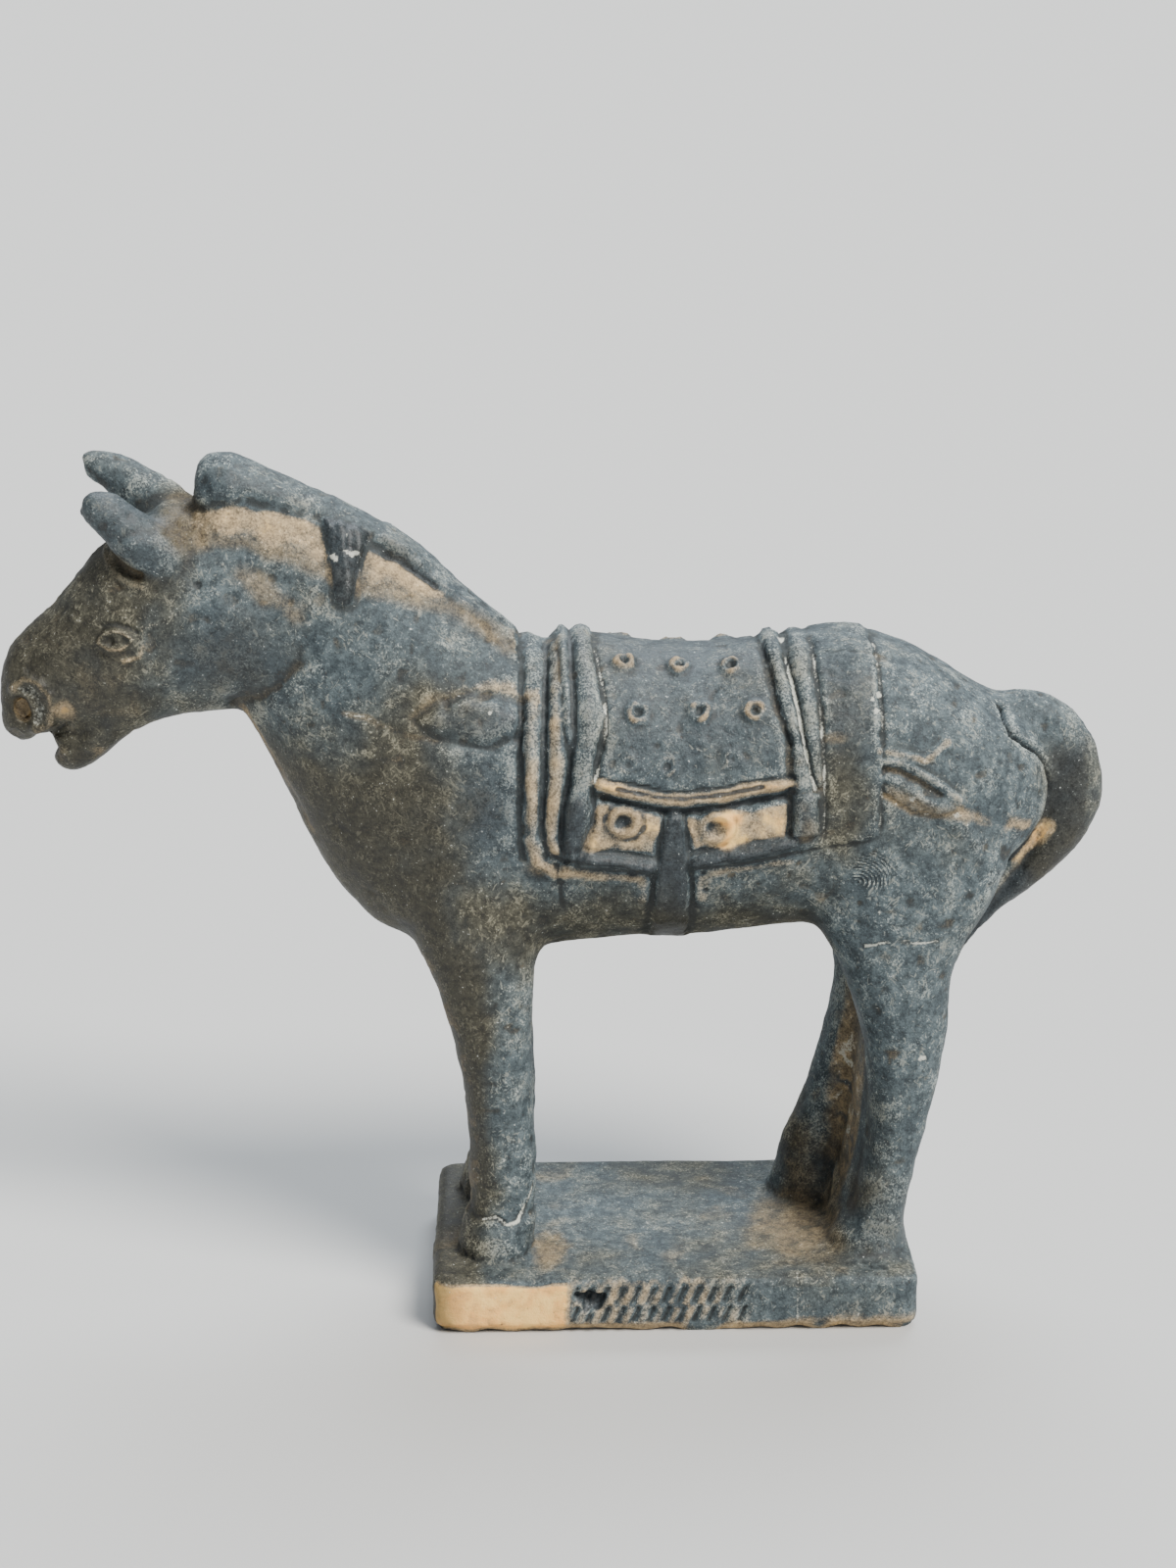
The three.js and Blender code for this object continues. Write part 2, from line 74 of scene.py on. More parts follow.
# Side outlines of the raised work, as x and height in mm
CLOTH = [(-16.8, 86.8), (-16.9, 68.8), (-16.2, 56.8), (-12.6, 54.2), (-2, 53.6), (12, 55.6),
         (21.6, 57.4), (22.0, 64.8), (21.6, 74.8), (19.4, 86.8)]
SEAT = [(-10.2, 86.8), (-9.4, 75.4), (-8.4, 70.3), (-9.2, 64.5), (-5.7, 63.7), (-0.4, 62.7),
        (2.8, 63.0), (7.0, 63.8), (12.6, 64.4), (12.0, 67.8), (9.8, 75.8), (9.2, 86.8)]
POMMEL = [(-13.4, 86.8), (-13.3, 76.6), (-12.7, 68.8), (-12.0, 63.4), (-13.1, 60.2), (-13.4, 57.3),
          (-12.6, 55.1), (-11.0, 54.9), (-9.3, 58.7), (-8.9, 65.3), (-7.6, 70.3), (-8.8, 75.4),
          (-9.8, 86.8)]
CANTLE = [(8.6, 86.8), (9.4, 76.3), (10.2, 72.8), (11.9, 67.8), (12.2, 62.1), (12.1, 57.4),
          (15.6, 57.6), (15.2, 62.3), (13.6, 67.1), (13.0, 70.7), (12.1, 74.8), (11.0, 86.8)]
GIRTH = [(-1.5, 60.8), (0.3, 60.8), (1.2, 54.8), (1.5, 43.4), (-3.2, 43.4), (-2.5, 53.8)]
LEAF = [(-28.5, 70.1), (-25.8, 71.8), (-22.6, 72.4), (-18.9, 71.7), (-16.4, 71.0), (-16.4, 68.9),
        (-20.5, 67.4), (-23.7, 67.7), (-26.9, 68.7)]
LOCK = [(-38.8, 91.4), (-37.9, 87.4), (-37.6, 84.8), (-37.2, 82.6), (-36.2, 82.0), (-35.2, 82.2),
        (-34.7, 84.2), (-34.2, 86.6), (-33.2, 89.4)]
BACK_LOCK = [(-33.4, 88.6), (-31.0, 87.3), (-26.5, 83.8), (-23.7, 81.3), (-20.2, 78.3), (-18.6, 76.8),
             (-18.6, 77.8), (-22.5, 81.2), (-27.5, 85.4), (-32.0, 89.0)]
STRAP_LINE = [(-15.8, 72.8), (-15.6, 66.8), (-15.4, 59.8), (-14.8, 56.8), (-12.6, 55.0)]
ROLL_LINE = [(-11.0, 55.1), (-6.6, 54.8), (-3.6, 54.3), (2.0, 55.1), (12.4, 56.7)]
CRUPPER_LINE = [(21.6, 65.4), (24.0, 65.0), (26.4, 63.8), (31.2, 60.2)]


def line_gap(x, z, line):
    """Distance in the side view from each point to a line of points."""
    best = np.full(x.shape, 1e9)
    for (ax, az), (bx, bz) in zip(line, line[1:]):
        along = (bx - ax) ** 2 + (bz - az) ** 2
        share = np.clip(((x - ax) * (bx - ax) + (z - az) * (bz - az)) / along, 0, 1)
        best = np.minimum(best, np.hypot(x - ax - share * (bx - ax), z - az - share * (bz - az)))
    return best


def depth_in(x, z, outline):
    """Distance in the side view inside an outline, negative outside it."""
    closed = outline + outline[:1]
    within = np.zeros(x.shape, bool)
    for (ax, az), (bx, bz) in zip(closed, closed[1:]):
        crosses = (az > z) != (bz > z)
        rise = bz - az if bz != az else 1e-9
        within ^= crosses & (x < ax + (z - az) / rise * (bx - ax))
    gap = line_gap(x, z, closed)
    return np.where(within, gap, -gap)


def clay_places():
    """Places of all the clay's points, in mm."""
    return np.array([vert.co[:] for vert in clay.verts]) / MM


def move_clay(places):
    """Moves the clay's points to new places, in mm."""
    for vert, place in zip(clay.verts, places * MM):
        vert.co = place
    clay.normal_update()


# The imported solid, as an even grid of clay
clay = bmesh.new()
clay.from_mesh(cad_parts["horse"].data)
bmesh.ops.remove_doubles(clay, verts=clay.verts, dist=1e-7)
pressing = bpy.data.meshes.new("horse_pressing")
clay.to_mesh(pressing)
clay.free()
pressed_horse = bpy.data.objects.new("horse_pressing", pressing)
bpy.context.scene.collection.objects.link(pressed_horse)
grid = pressed_horse.modifiers.new("grid", "REMESH")
grid.mode = "VOXEL"
grid.voxel_size = CLAY_GRID
ready = bpy.context.evaluated_depsgraph_get()
gridded = bpy.data.meshes.new_from_object(pressed_horse.evaluated_get(ready))
bpy.data.objects.remove(pressed_horse)
bpy.data.meshes.remove(pressing)
clay = bmesh.new()
clay.from_mesh(gridded)
bpy.data.meshes.remove(gridded)

# Saddlery pared away, and the strokes of the plinth filled
p = clay_places()
x, y, z = p.T
raised = np.zeros(len(p))
for outline, rise in ((CLOTH, CLOTH_RISE), (GIRTH, STRAP_RISE), (SEAT, SEAT_RISE),
                      (POMMEL, ROLL_RISE), (CANTLE, ROLL_RISE)):
    raised = np.where(depth_in(x, z, outline) > 0, np.maximum(raised, rise), raised)
for line, width, rise in ((STRAP_LINE, 1.3, STRAP_RISE), (CRUPPER_LINE, 1.8, STRAP_RISE),
                          (ROLL_LINE, 1.4, ROLL_RISE)):
    raised = np.where(line_gap(x, z, line) < width / 2, np.maximum(raised, rise), raised)
on_trunk = (z > TRUNK_LOW) & (np.abs(y) > 0.2) & (x > -17) & (x < 33)
outwards = np.stack([np.zeros(len(p)), y / TRUNK_HALF_WIDTH, (z - TRUNK_MIDDLE) / TRUNK_HALF_HEIGHT], 1)
outwards /= np.linalg.norm(outwards, axis=1, keepdims=True)
p -= outwards * (raised * on_trunk)[:, None]
on_neck = np.zeros(len(p))
for outline, rise in ((LEAF, STRAP_RISE), (LOCK, SEAT_RISE), (BACK_LOCK, SEAT_RISE)):
    on_neck = np.where(depth_in(x, z, outline) > 0, np.maximum(on_neck, rise), on_neck)
p[:, 1] -= np.sign(y) * on_neck * (x <= -16.4)
front_face = (y < -15.6) & (np.abs(x) < 26) & (z > 1.3) & (z < 5.4)
p[:, 1] = np.where(front_face, PLINTH_FACE, p[:, 1])
move_clay(p)

# Rounding off with a wet hand: most on the body, least on the ears, muzzle and plinth
x, y, z = p.T
rounds = np.full(len(p), 26)
rounds = np.where(z < 40, 12, rounds)
rounds = np.where(z < 16, 6, rounds)
rounds = np.where(z < PLINTH_TOP + 0.6, 2, rounds)
rounds = np.where(x < -52, 9, rounds)
rounds = np.where((x < -50) & (z > 83.5), 4, rounds)
rounds = np.where(x < -62, 4, rounds)
rounds = np.where((x > 36.5) | ((x > 30) & (z < 55)), 7, rounds)
rounds = np.where(np.hypot(x + 48.9, z - 69.6) < 3.5, 3, rounds)
rounds = np.where((np.abs(x + 51.5) < 3.5) & (z > 89.5), 3, rounds)
every_vert = list(clay.verts)
for turn in range(int(rounds.max())):
    bmesh.ops.smooth_vert(clay, verts=[every_vert[i] for i in np.nonzero(rounds > turn)[0]],
                          factor=0.5, use_axis_x=True, use_axis_y=True, use_axis_z=True)


def bump(gap, half_width):
    """1 on a line or place, and falling off smoothly with the distance from it."""
    return np.exp(-(gap / half_width) ** 2)


# The lower edges of the two ears, pinched between finger and thumb
p = clay_places()
x, y, z = p.T
for edge, push, ear in (([(-64.7, 92.2), (-61.9, 88.8)], 0.6, (y < 0) & (x < -58) & (z > 87)),
                        ([(-65.4, 94.6), (-64.0, 93.2)], 1.2, (y > 0) & (x < -60) & (z > 91))):
    pinched = push * bump(line_gap(x, z, edge), 1.6) * ear
    p[:, 0] += 0.6 * pinched
    p[:, 2] += 0.8 * pinched
move_clay(p)


def refine(*zones):
    """Finer clay in zones, each given by x from and to, height from and to, and the y it ends at."""
    x, y, z = clay_places().T
    inside = [(x > west) & (x < east) & (z > low) & (z < high) & (y < end)
              for west, east, low, high, end in zones]
    clay.verts.ensure_lookup_table()
    picked = {clay.verts[i] for i in np.nonzero(np.logical_or.reduce(inside))[0]}
    bmesh.ops.subdivide_edges(clay, edges=[edge for edge in clay.edges if set(edge.verts) <= picked],
                              cuts=1, use_grid_fill=True)


FAR = 100

# Where there is carving: saddle, crupper, face, ear, mane, its lock, breast leaf, tail's root,
# front of the plinth, hoof and two hairlines
refine((-18.5, 23.5, 49, FAR, -3), (23, 34, 53, 69, 0), (-FAR, -56, -FAR, 82, 0),
       (-FAR, -56, 82, FAR, 0), (-53, -17, 78, FAR, -2.5), (-39.5, -32.5, 81, FAR, FAR),
       (-29.5, -16, 66.5, 73.5, FAR), (35, 44, 60, 71, 0), (-FAR, FAR, -FAR, PLINTH_TOP, -15),
       (-23, -15.4, 9.5, 15.4, -6), (-37, -26, 67, 71.5, 0), (20, 29.5, 43.6, 46, 0))
# The eye, the nostril and the fingerprint once more
refine((-63.5, -57.5, 76, 81, 0), (-FAR, -67, 66, 75, 0), (18, 24.8, 50.5, 56, 0))
clay.normal_update()
p = clay_places()
normals = np.array([vert.normal[:] for vert in clay.verts])
x, y, z = p.T
skin = BVHTree.FromBMesh(clay)


def on_side(place, side):
    """The skin's point at a place of the side view, on the near side (-1) or the far side (1)."""
    start = Vector((place[0] * MM, side * 60 * MM, place[1] * MM))
    hit = skin.ray_cast(start, Vector((0, -side, 0)))[0]
    return np.array(hit) / MM if hit else np.array([place[0], 0.0, place[1]])


def from_point(place, side):
    """Distance of all the clay from a place on the skin."""
    return np.linalg.norm(p - on_side(place, side), axis=1)


def from_line(line, side):
    """Distance of all the clay from a line drawn on the skin, 9 mm where it is far away."""
    drawn = []
    for (ax, az), (bx, bz) in zip(line, line[1:]):
        count = max(1, round(math.hypot(bx - ax, bz - az) / 1.5))
        drawn += [on_side((ax + (bx - ax) * i / count, az + (bz - az) * i / count), side)
                  for i in range(count)]
    drawn = np.array(drawn + [on_side(line[-1], side)])
    close = ((p > drawn.min(0) - 4) & (p < drawn.max(0) + 4)).all(1) & (y * side > -0.8)
    best = np.full(len(p), 9.0)
    for a, b in zip(drawn, drawn[1:]):
        along = b - a
        share = np.clip((p[close] - a) @ along / max(along @ along, 1e-9), 0, 1)
        gap = np.linalg.norm(p[close] - a - share[:, None] * along, axis=1)
        best[close] = np.minimum(gap, best[close])
    return best


def cloud(size, seed):
    """Unevenness between -1 and 1, in lumps of one size in mm."""
    shift = Vector((seed * 13.7, seed * 7.3, seed * 3.1))
    return 1.4 * np.array([noise.noise(Vector(place) / size + shift) for place in p])


# What the hand leaves: how far each bit of clay is lifted, and where the coat is worn to bare
# clay, dusty, chalky, darkest or browned, and where shade is painted into it
lift, bare, dust, chalk, dark_and_shade, brown = np.zeros((6, len(p)))
broad = cloud(9.0, 5)
wander = cloud(3.0, 1)
ripple = cloud(1.1, 2)
near = y < 0


def step(value, low, high):
    """0 below a low value, 1 above a high one, and a smooth climb between them."""
    share = np.clip((value - low) / (high - low), 0, 1)
    return share * share * (3 - 2 * share)


def stain(mask, shape):
    """A mask raised to a shape wherever the shape is stronger."""
    mask[:] = np.maximum(mask, shape)


def worn_side(side):
    """Wear on one side, less on the far one."""
    return (1.0 if side < 0 else 0.6) * (0.85 + 0.4 * wander)


def ridge(side, line, rise, half_width, bared=0.0, chalked=0.0, darkened_and_shaded=0.0, dusted=0.0):
    """A raised line, worn on its back. With no rise it is wear alone."""
    gap = from_line(line, side) + 0.12 * ripple
    lift[:] += rise * bump(gap, half_width)
    worn = worn_side(side)
    stain(bare, bared * worn * bump(gap, half_width * 1.2))
    stain(chalk, chalked * worn * bump(gap, half_width))
    stain(dark_and_shade, darkened_and_shaded * bump(gap, half_width * 1.3))
    stain(dust, dusted * worn * bump(gap, half_width * 1.3))


def groove(side, line, depth, half_width, dusted=0.5, darkened_and_shaded=0.0, chalked=0.0):
    """A sunk line, with dust or chalk left in it, and painted shade in it where it is darkened."""
    gap = from_line(line, side) + 0.08 * ripple
    lift[:] -= depth * bump(gap, half_width)
    worn = worn_side(side)
    stain(dust, dusted * worn * bump(gap, half_width * 1.6))
    stain(dark_and_shade, 0.75 * darkened_and_shaded * bump(gap, half_width * 1.1))
    stain(chalk, chalked * worn * bump(gap, half_width * 0.8))


# Uneven skin of a hand-finished pressing, and clay drawn back by the rounding
lift += 0.14 * broad + 0.09 * wander + 0.05 * ripple
nicked = step(cloud(1.7, 9), 0.42, 0.8) * (z > 7)
lift -= 0.13 * nicked
stain(dust, 0.3 * nicked)
lift += np.where(z > PLINTH_TOP + 1, 0.1, 0)
lift += 0.15 * step(-x, 56, 62) * (z < 84) + 0.25 * step(-x, 57, 61) * (z > 84)
lift += 0.15 * step(x, 36, 40)

# Saddle cloth, seat, pommel, cantle and girth: pressed in the mould with the body. The seat is
# sunk between two rolls, and every edge has been softened by slip and wear.
edge_wear = 0.25 * wander + 0.1 * ripple
on_saddle = (z > TRUNK_LOW) & (x > -18) & (x < 24)
cloth = CLOTH_RISE * step(depth_in(x, z, CLOTH) + edge_wear, -0.3, 0.3)
seat = SEAT_RISE * step(depth_in(x, z, SEAT) + edge_wear, -0.25, 0.3)
pommel = ROLL_RISE * step(depth_in(x, z, POMMEL) + edge_wear, -0.2, 0.9)
cantle = ROLL_RISE * step(depth_in(x, z, CANTLE) + edge_wear, -0.2, 0.8)
girth_in = depth_in(x, z, GIRTH) + 0.6 * edge_wear
girth = STRAP_RISE * step(girth_in, -0.25, 0.5) * (0.3 + 0.7 * step(z, 44.5, 48))
lift += on_saddle * np.maximum.reduce([cloth, seat, pommel, cantle, girth])
stain(dark_and_shade, step(girth_in, 0, 0.6) * on_saddle)
stain(dark_and_shade, 0.5 * step(depth_in(x, z, SEAT), 0, 1.5) * on_saddle)
CLOTH_REAR = [(15.8, 65), (15.4, 75.5), (21.8, 75), (21.8, 65)]
CLOTH_FOOT = [(12, 56), (12, 66), (15.5, 70), (22, 68), (22, 57)]
stain(dark_and_shade, 0.55 * step(depth_in(x, z, CLOTH_REAR), 0, 1))
stain(dust, 0.7 * step(wander + broad, -0.1, 0.8) * step(depth_in(x, z, CLOTH_FOOT), -0.5, 1.5))
for side in (-1, 1):
    # Two breast straps in front of the pommel, with painted shade in the gaps between them
    ridge(side, [(-16.0, 71.0), (-15.9, 65.0), (-16.1, 60.0), (-16.3, 57.3), (-15.4, 54.6), (-13.2, 53.2)],
          0.65, 0.8, bared=0.22)
    ridge(side, [(-16.0, 65.5), (-16.1, 60.0), (-16.3, 57.3), (-15.4, 54.6), (-13.2, 53.2)],
          0.0, 0.9, bared=0.5)
    ridge(side, [(-13.1, 72.5), (-13.0, 70.0), (-13.1, 65.0), (-13.6, 60.5), (-13.9, 57.3), (-13.4, 56.1)],
          0.6, 0.85, bared=0.26)
    ridge(side, [(-13.4, 69.5), (-13.4, 65.0), (-13.8, 60.5), (-14.1, 57.3), (-13.5, 56.1)],
          0.0, 0.9, bared=0.5)
    corner = bump(np.hypot((x + 15.4) / 1.8, (z - 53.8) / 1.3) + 0.3 * wander, 1.0)
    stain(dust, 0.6 * corner * (y * side > 0))
    ridge(side, [(-13.0, 77.4), (-13.2, 72.5)], 0.4, 0.6, dusted=0.6)
    groove(side, [(-14.3, 77.4), (-14.5, 70.0), (-14.8, 63.0), (-15.0, 58.5), (-14.3, 55.8), (-12.4, 54.7)],
           0.6, 0.42, dusted=0.2, darkened_and_shaded=0.9)
    groove(side, [(-11.8, 76.8), (-11.5, 72.0), (-11.5, 67.0), (-11.9, 64.2), (-12.6, 61.0), (-12.9, 57.6),
                  (-12.1, 54.8)], 0.6, 0.4, dusted=0.1, darkened_and_shaded=0.9)
    groove(side, [(-17.2, 78.0), (-16.9, 75.0), (-17.0, 71.6), (-17.4, 66.0), (-17.5, 60.0), (-17.2, 55.0)],
           0.45, 0.5, dusted=0.1)
    # Pommel with its pad, and the fine line between pommel and seat
    groove(side, [(-9.7, 77.4), (-9.0, 75.4), (-8.1, 72.2), (-8.0, 68.8), (-8.7, 65.3), (-9.2, 63.6)],
           0.35, 0.32, dusted=0.2, chalked=0.9)
    ridge(side, [(-10.6, 76.6), (-9.9, 71.5), (-10.0, 66.5), (-10.7, 63.6)], 0.35, 0.8, darkened_and_shaded=0.5)
    ridge(side, [(-11.1, 61.0), (-11.5, 57.2)], 0.8, 1.4, darkened_and_shaded=1.0)
    groove(side, [(-9.6, 63.0), (-9.2, 60.5), (-9.9, 57.4), (-11.2, 54.5)],
           0.5, 0.4, dusted=0.1, darkened_and_shaded=0.7)
    # Lower edge of the seat: piping over a sunk line, with painted shade in the sunk lines beside it
    ridge(side, [(-8.8, 63.5), (-5.7, 62.7), (-1.5, 61.9), (0.7, 61.8), (4.9, 62.3), (8.0, 63.0),
                 (12.0, 63.5)], 0.85, 0.62, bared=0.95)
    groove(side, [(-6.8, 63.0), (-4.0, 62.4), (-1.5, 62.0), (0.7, 61.9), (4.9, 62.4), (9.0, 63.2)],
           0.45, 0.27, dusted=0.0, darkened_and_shaded=1.5)
    groove(side, [(-8.4, 62.1), (-5.7, 61.3), (-1.5, 60.4), (0.7, 60.4), (4.9, 60.9), (8.0, 61.5),
                  (11.6, 62.0)], 0.8, 0.36, dusted=0.0, darkened_and_shaded=1.0)
    # Two bare panels under the seat, and the dark rolls under them, with painted shade in the line above
    # each
    for panel, bared in (([(-9.0, 61.6), (-1.9, 60.0), (-2.7, 55.4), (-11.0, 55.9)], 0.66),
                         ([(0.6, 60.0), (1.5, 55.9), (11.8, 57.3), (11.8, 61.3)], 0.95)):
        patch = step(depth_in(x, z, panel) + wander * 0.4, -0.2, 0.5) * (y * side > 0)
        bared *= 1.0 if side < 0 else 0.6
        stain(bare, patch * bared * (0.9 + 0.6 * wander + 0.2 * ripple))
        lift += 0.12 * patch
    for roll in ([(-11.4, 55.3), (-6.6, 54.9), (-3.0, 54.2)],
                 [(1.6, 54.9), (4.9, 55.5), (9.2, 56.2), (12.2, 57.0)]):
        ridge(side, roll, 1.1, 0.75, darkened_and_shaded=1.0)
        groove(side, [(px, pz + 0.95) for px, pz in roll], 0.25, 0.3, dusted=0.0, darkened_and_shaded=0.6)
    # Girth over the rolls, and the skirts' joint
    for edge in ([(-1.6, 60.2), (-2.3, 55.0), (-2.7, 50.6), (-3.2, 44.4)],
                 [(0.4, 60.2), (1.1, 55.0), (1.5, 50.8), (1.5, 44.4)]):
        groove(side, edge, 0.4, 0.35, dusted=0.1, darkened_and_shaded=0.5)
    groove(side, [(-13.4, 54.3), (-13.0, 52.1), (-12.7, 48.6)], 0.45, 0.35, dusted=0.1, darkened_and_shaded=0.8)
    ridge(side, [(-12.4, 53.4), (-8.0, 53.0), (-4.1, 52.6), (-3.8, 50.0)], 0.3, 0.9, bared=0.5)
    ridge(side, [(2.6, 50.0), (2.9, 53.2), (7.0, 53.9), (12.0, 54.7)], 0.25, 0.8, bared=0.35)
    # Cantle with its square pad, and the two lines behind it
    groove(side, [(9.3, 77.0), (9.8, 73.4), (11.7, 67.9), (12.0, 62.1), (12.0, 57.9)], 0.4, 0.4, dusted=0.3)
    groove(side, [(11.5, 77.8), (12.1, 74.8), (13.0, 70.7), (13.6, 67.1), (14.2, 64.3), (14.8, 62.8)],
           0.45, 0.32, dusted=0.1, chalked=1.0)
    groove(side, [(14.9, 77.8), (15.0, 75.2), (15.4, 70.4), (15.6, 66.4), (15.8, 62.1), (15.8, 57.6)],
           0.4, 0.35, dusted=0.3, chalked=0.7)
    ridge(side, [(13.3, 77.4), (13.7, 74.0), (14.4, 69.0), (14.9, 65.0)], 0.35, 0.65)
    ridge(side, [(13.8, 61.6), (13.8, 58.6)], 0.5, 1.4, darkened_and_shaded=0.6)
    groove(side, [(12.3, 62.6), (15.4, 62.7)], 0.35, 0.35, dusted=0.4)
    # Rear edge of the cloth, with a fine line across it
    groove(side, [(20.6, 78.2), (21.8, 76.7), (22.0, 73.4), (22.0, 68.5), (22.0, 63.3), (21.9, 58.6)],
           0.25, 0.35, dusted=0.2, chalked=0.6)
    groove(side, [(15.9, 75.8), (18.1, 76.2), (21.3, 75.9)], 0.12, 0.25, dusted=0.2, chalked=0.4)

# Studs of the seat: small rings stamped in the mould, which stand up from the seat's clay in two
# clear rows and a faint third. Their rims are rubbed bare.
for side in (-1, 1):
    for place, rise in (((-6.0, 74.6), 0.55), ((0.2, 74.0), 0.6), ((6.0, 74.1), 0.5), ((-4.6, 70.4), 0.5),
                        ((2.2, 70.4), 0.6), ((8.3, 70.6), 0.5), ((-5.6, 65.4), 0.18), ((-1.4, 65.2), 0.25),
                        ((5.8, 66.0), 0.15)):
        gap = from_point(place, side) + 0.15 * wander
        lift += rise * bump(gap - 0.8, 0.4) * (1 + 0.6 * ripple) - 0.5 * rise * bump(gap, 0.45)
        stain(bare, 1.05 * rise * bump(gap - 0.85, 0.4) * (0.7 + ripple + 0.3 * wander))
        stain(dark_and_shade, 0.8 * rise * bump(gap - 1.7, 0.4))
        stain(dark_and_shade, (0.9 + 0.8 * wander) * rise * bump(gap, 0.4))

# Medallions on the two panels under the seat: a ring raised from the same clay in the mould and
# rubbed bare, round a dark hollow.
for side in (-1, 1):
    for place, radius in (((-6.0, 59.4), 1.35), ((4.1, 58.8), 1.45)):
        gap = from_point(place, side) + 0.15 * wander
        lift += 0.5 * bump(gap - radius, 0.4) - 0.45 * bump(gap, 0.65)
        front_one = place[0] < 0
        stain(dark_and_shade, (1.1 if front_one else 0.75 + 0.8 * ripple) * bump(gap, 0.8))
        around = bump(gap - radius - 0.8, 0.45) * (0.8 + 1.3 * ripple + 0.5 * wander)
        stain(dark_and_shade, (0.75 if front_one else 0.5) * around)
        stain(bare, 0.8 * bump(gap - radius, 0.4) * worn_side(side))

# Breast strap's leaf at the foot of the neck: a low lens of the body's own clay that points
# forward, with its tail under the straps.
leaf_in = depth_in(x, z, LEAF) + 0.8 * edge_wear
on_flank = (x < -15) & (np.abs(y) > 4)
lift += (0.85 * step(leaf_in, -0.2, 1.3) - 0.2 * bump(leaf_in + 0.4, 0.4)) * on_flank
stain(dark_and_shade, 0.6 * step(leaf_in, 0, 1) * on_flank)
stain(bare, 0.34 * step(x, -27, -20) * bump(leaf_in + 1.2 + 0.5 * wander, 1.0) * on_flank * near
      * step(z, 69.5, 71.5))
stain(dust, 0.4 * bump(leaf_in + 0.8 + 0.3 * wander, 0.7) * on_flank * step(z, 67, 71))
# Painted shade in the crease round the leaf's edge
stain(dark_and_shade, 0.6 * bump(leaf_in + 0.1, 0.35) * on_flank)

# Crupper: two thin straps, raised from the haunch in the mould, that run from the cloth to a
# leaf. Behind them a rubbed streak leads to the tail.
for side in (-1, 1):
    ridge(side, [(21.9, 66.8), (24.1, 66.5), (26.7, 65.6), (29.2, 67.4)], 0.4, 0.5, bared=0.42, chalked=0.5)
    ridge(side, [(22.2, 65.8), (24.0, 65.6), (26.2, 64.5), (28.4, 63.0), (30.6, 61.3)],
          0.55, 0.45, bared=0.15)
    groove(side, [(22.4, 64.9), (24.0, 64.6), (26.2, 63.5), (28.4, 62.0)],
           0.35, 0.3, dusted=0.5, darkened_and_shaded=0.4)
    ridge(side, [(22.6, 64.0), (24.1, 63.4), (25.5, 62.3), (27.2, 61.0)], 0.4, 0.45, darkened_and_shaded=0.3)
    ridge(side, [(28.8, 60.6), (30.6, 58.6), (32.6, 55.8)], 0.6, 1.2, darkened_and_shaded=0.5)
groove(-1, [(22.5, 61.9), (24.2, 60.8), (25.5, 59.9), (28.0, 59.6), (30.7, 60.0)],
       0.35, 0.35, dusted=0.75, chalked=0.3)
gap = line_gap(x, z, [(23.0, 62.6), (24.6, 61.4), (28.0, 60.2), (30.6, 59.6)])
stain(dust, 0.6 * bump(gap + 0.4 * wander, 1.1) * near)
stain(chalk, 0.6 * bump(gap + 0.5 * wander, 0.9) * near * step(ripple, -0.1, 0.5))
gap = from_line([(30.8, 59.8), (33.5, 58.6), (35.8, 58.0), (38.8, 56.9)], -1)
stain(bare, 0.66 * bump(gap + 0.4 * wander + 0.3 * ripple, 0.95) * (0.95 + 0.5 * wander))
stain(chalk, 0.5 * bump(gap + 0.4 * wander, 0.8) * step(ripple, -0.2, 0.5))

# Mane: a thick roll along the crest, cut off blunt in front. Below it the clay is worn bare,
# and two locks hang from it.
ROLL_EDGE = [(-52.2, 92.3), (-50.8, 92.7), (-46.5, 93.3), (-41.6, 91.9), (-38.7, 91.1), (-33.5, 88.7),
             (-31.1, 86.9), (-28.9, 85.8), (-26.8, 84.4), (-23.7, 82.1), (-20.2, 78.5), (-17.6, 76.2)]
BAND_EDGE = [(-52.4, 89.2), (-50.8, 89.2), (-46.5, 88.5), (-41.6, 87.4), (-38.7, 86.1), (-34.7, 84.0),
             (-31.1, 83.3), (-26.9, 81.9), (-22.6, 79.9), (-19.0, 77.0)]
above_roll, above_band = (z - np.interp(x, *zip(*edge)) for edge in (ROLL_EDGE, BAND_EDGE))
on_mane = (x > -52.8) & (x < -17.6) & (z > 74)
lift += on_mane * 0.35 * step(above_roll + edge_wear, -0.7, 1.2) * step(-x, 17.6, 20)
# Painted shade on the roll's steep sides, where they turn from the light
stain(dark_and_shade, 0.52 * on_mane * step(above_roll, 0, 1) * step(0.88 - normals[:, 2], 0, 0.35))
for side in (-1, 1):
    groove(side, ROLL_EDGE, 0.18, 0.7, dusted=0.2)
    lock_in = depth_in(x, z, LOCK) + 0.6 * edge_wear
    here = y * side > 0
    strands = 0.16 * np.cos((x + 0.12 * z) * 3.9 + wander)
    lift += (0.95 + strands) * step(lock_in, -0.2, 0.9) * here * (x < -30)
    stain(dark_and_shade, 1.2 * step(lock_in, -0.1, 0.4) * here * (x < -30))
    stain(chalk, 0.8 * step(lock_in, -0.1, 0.4) * step(ripple, 0.35, 0.8) * here * (x < -30))
    back_in = depth_in(x, z, BACK_LOCK) + 0.5 * edge_wear
    lift += 0.6 * step(back_in, -0.3, 0.7) * here * (x < -16)
    stain(dark_and_shade, 0.6 * step(back_in, -0.3, 0.4) * here * (x < -16))
groove(-1, [(-31.6, 87.0), (-30.0, 86.2), (-28.2, 85.0), (-26.5, 83.6)], 0.5, 0.6, dusted=0.1, darkened_and_shaded=1.0)
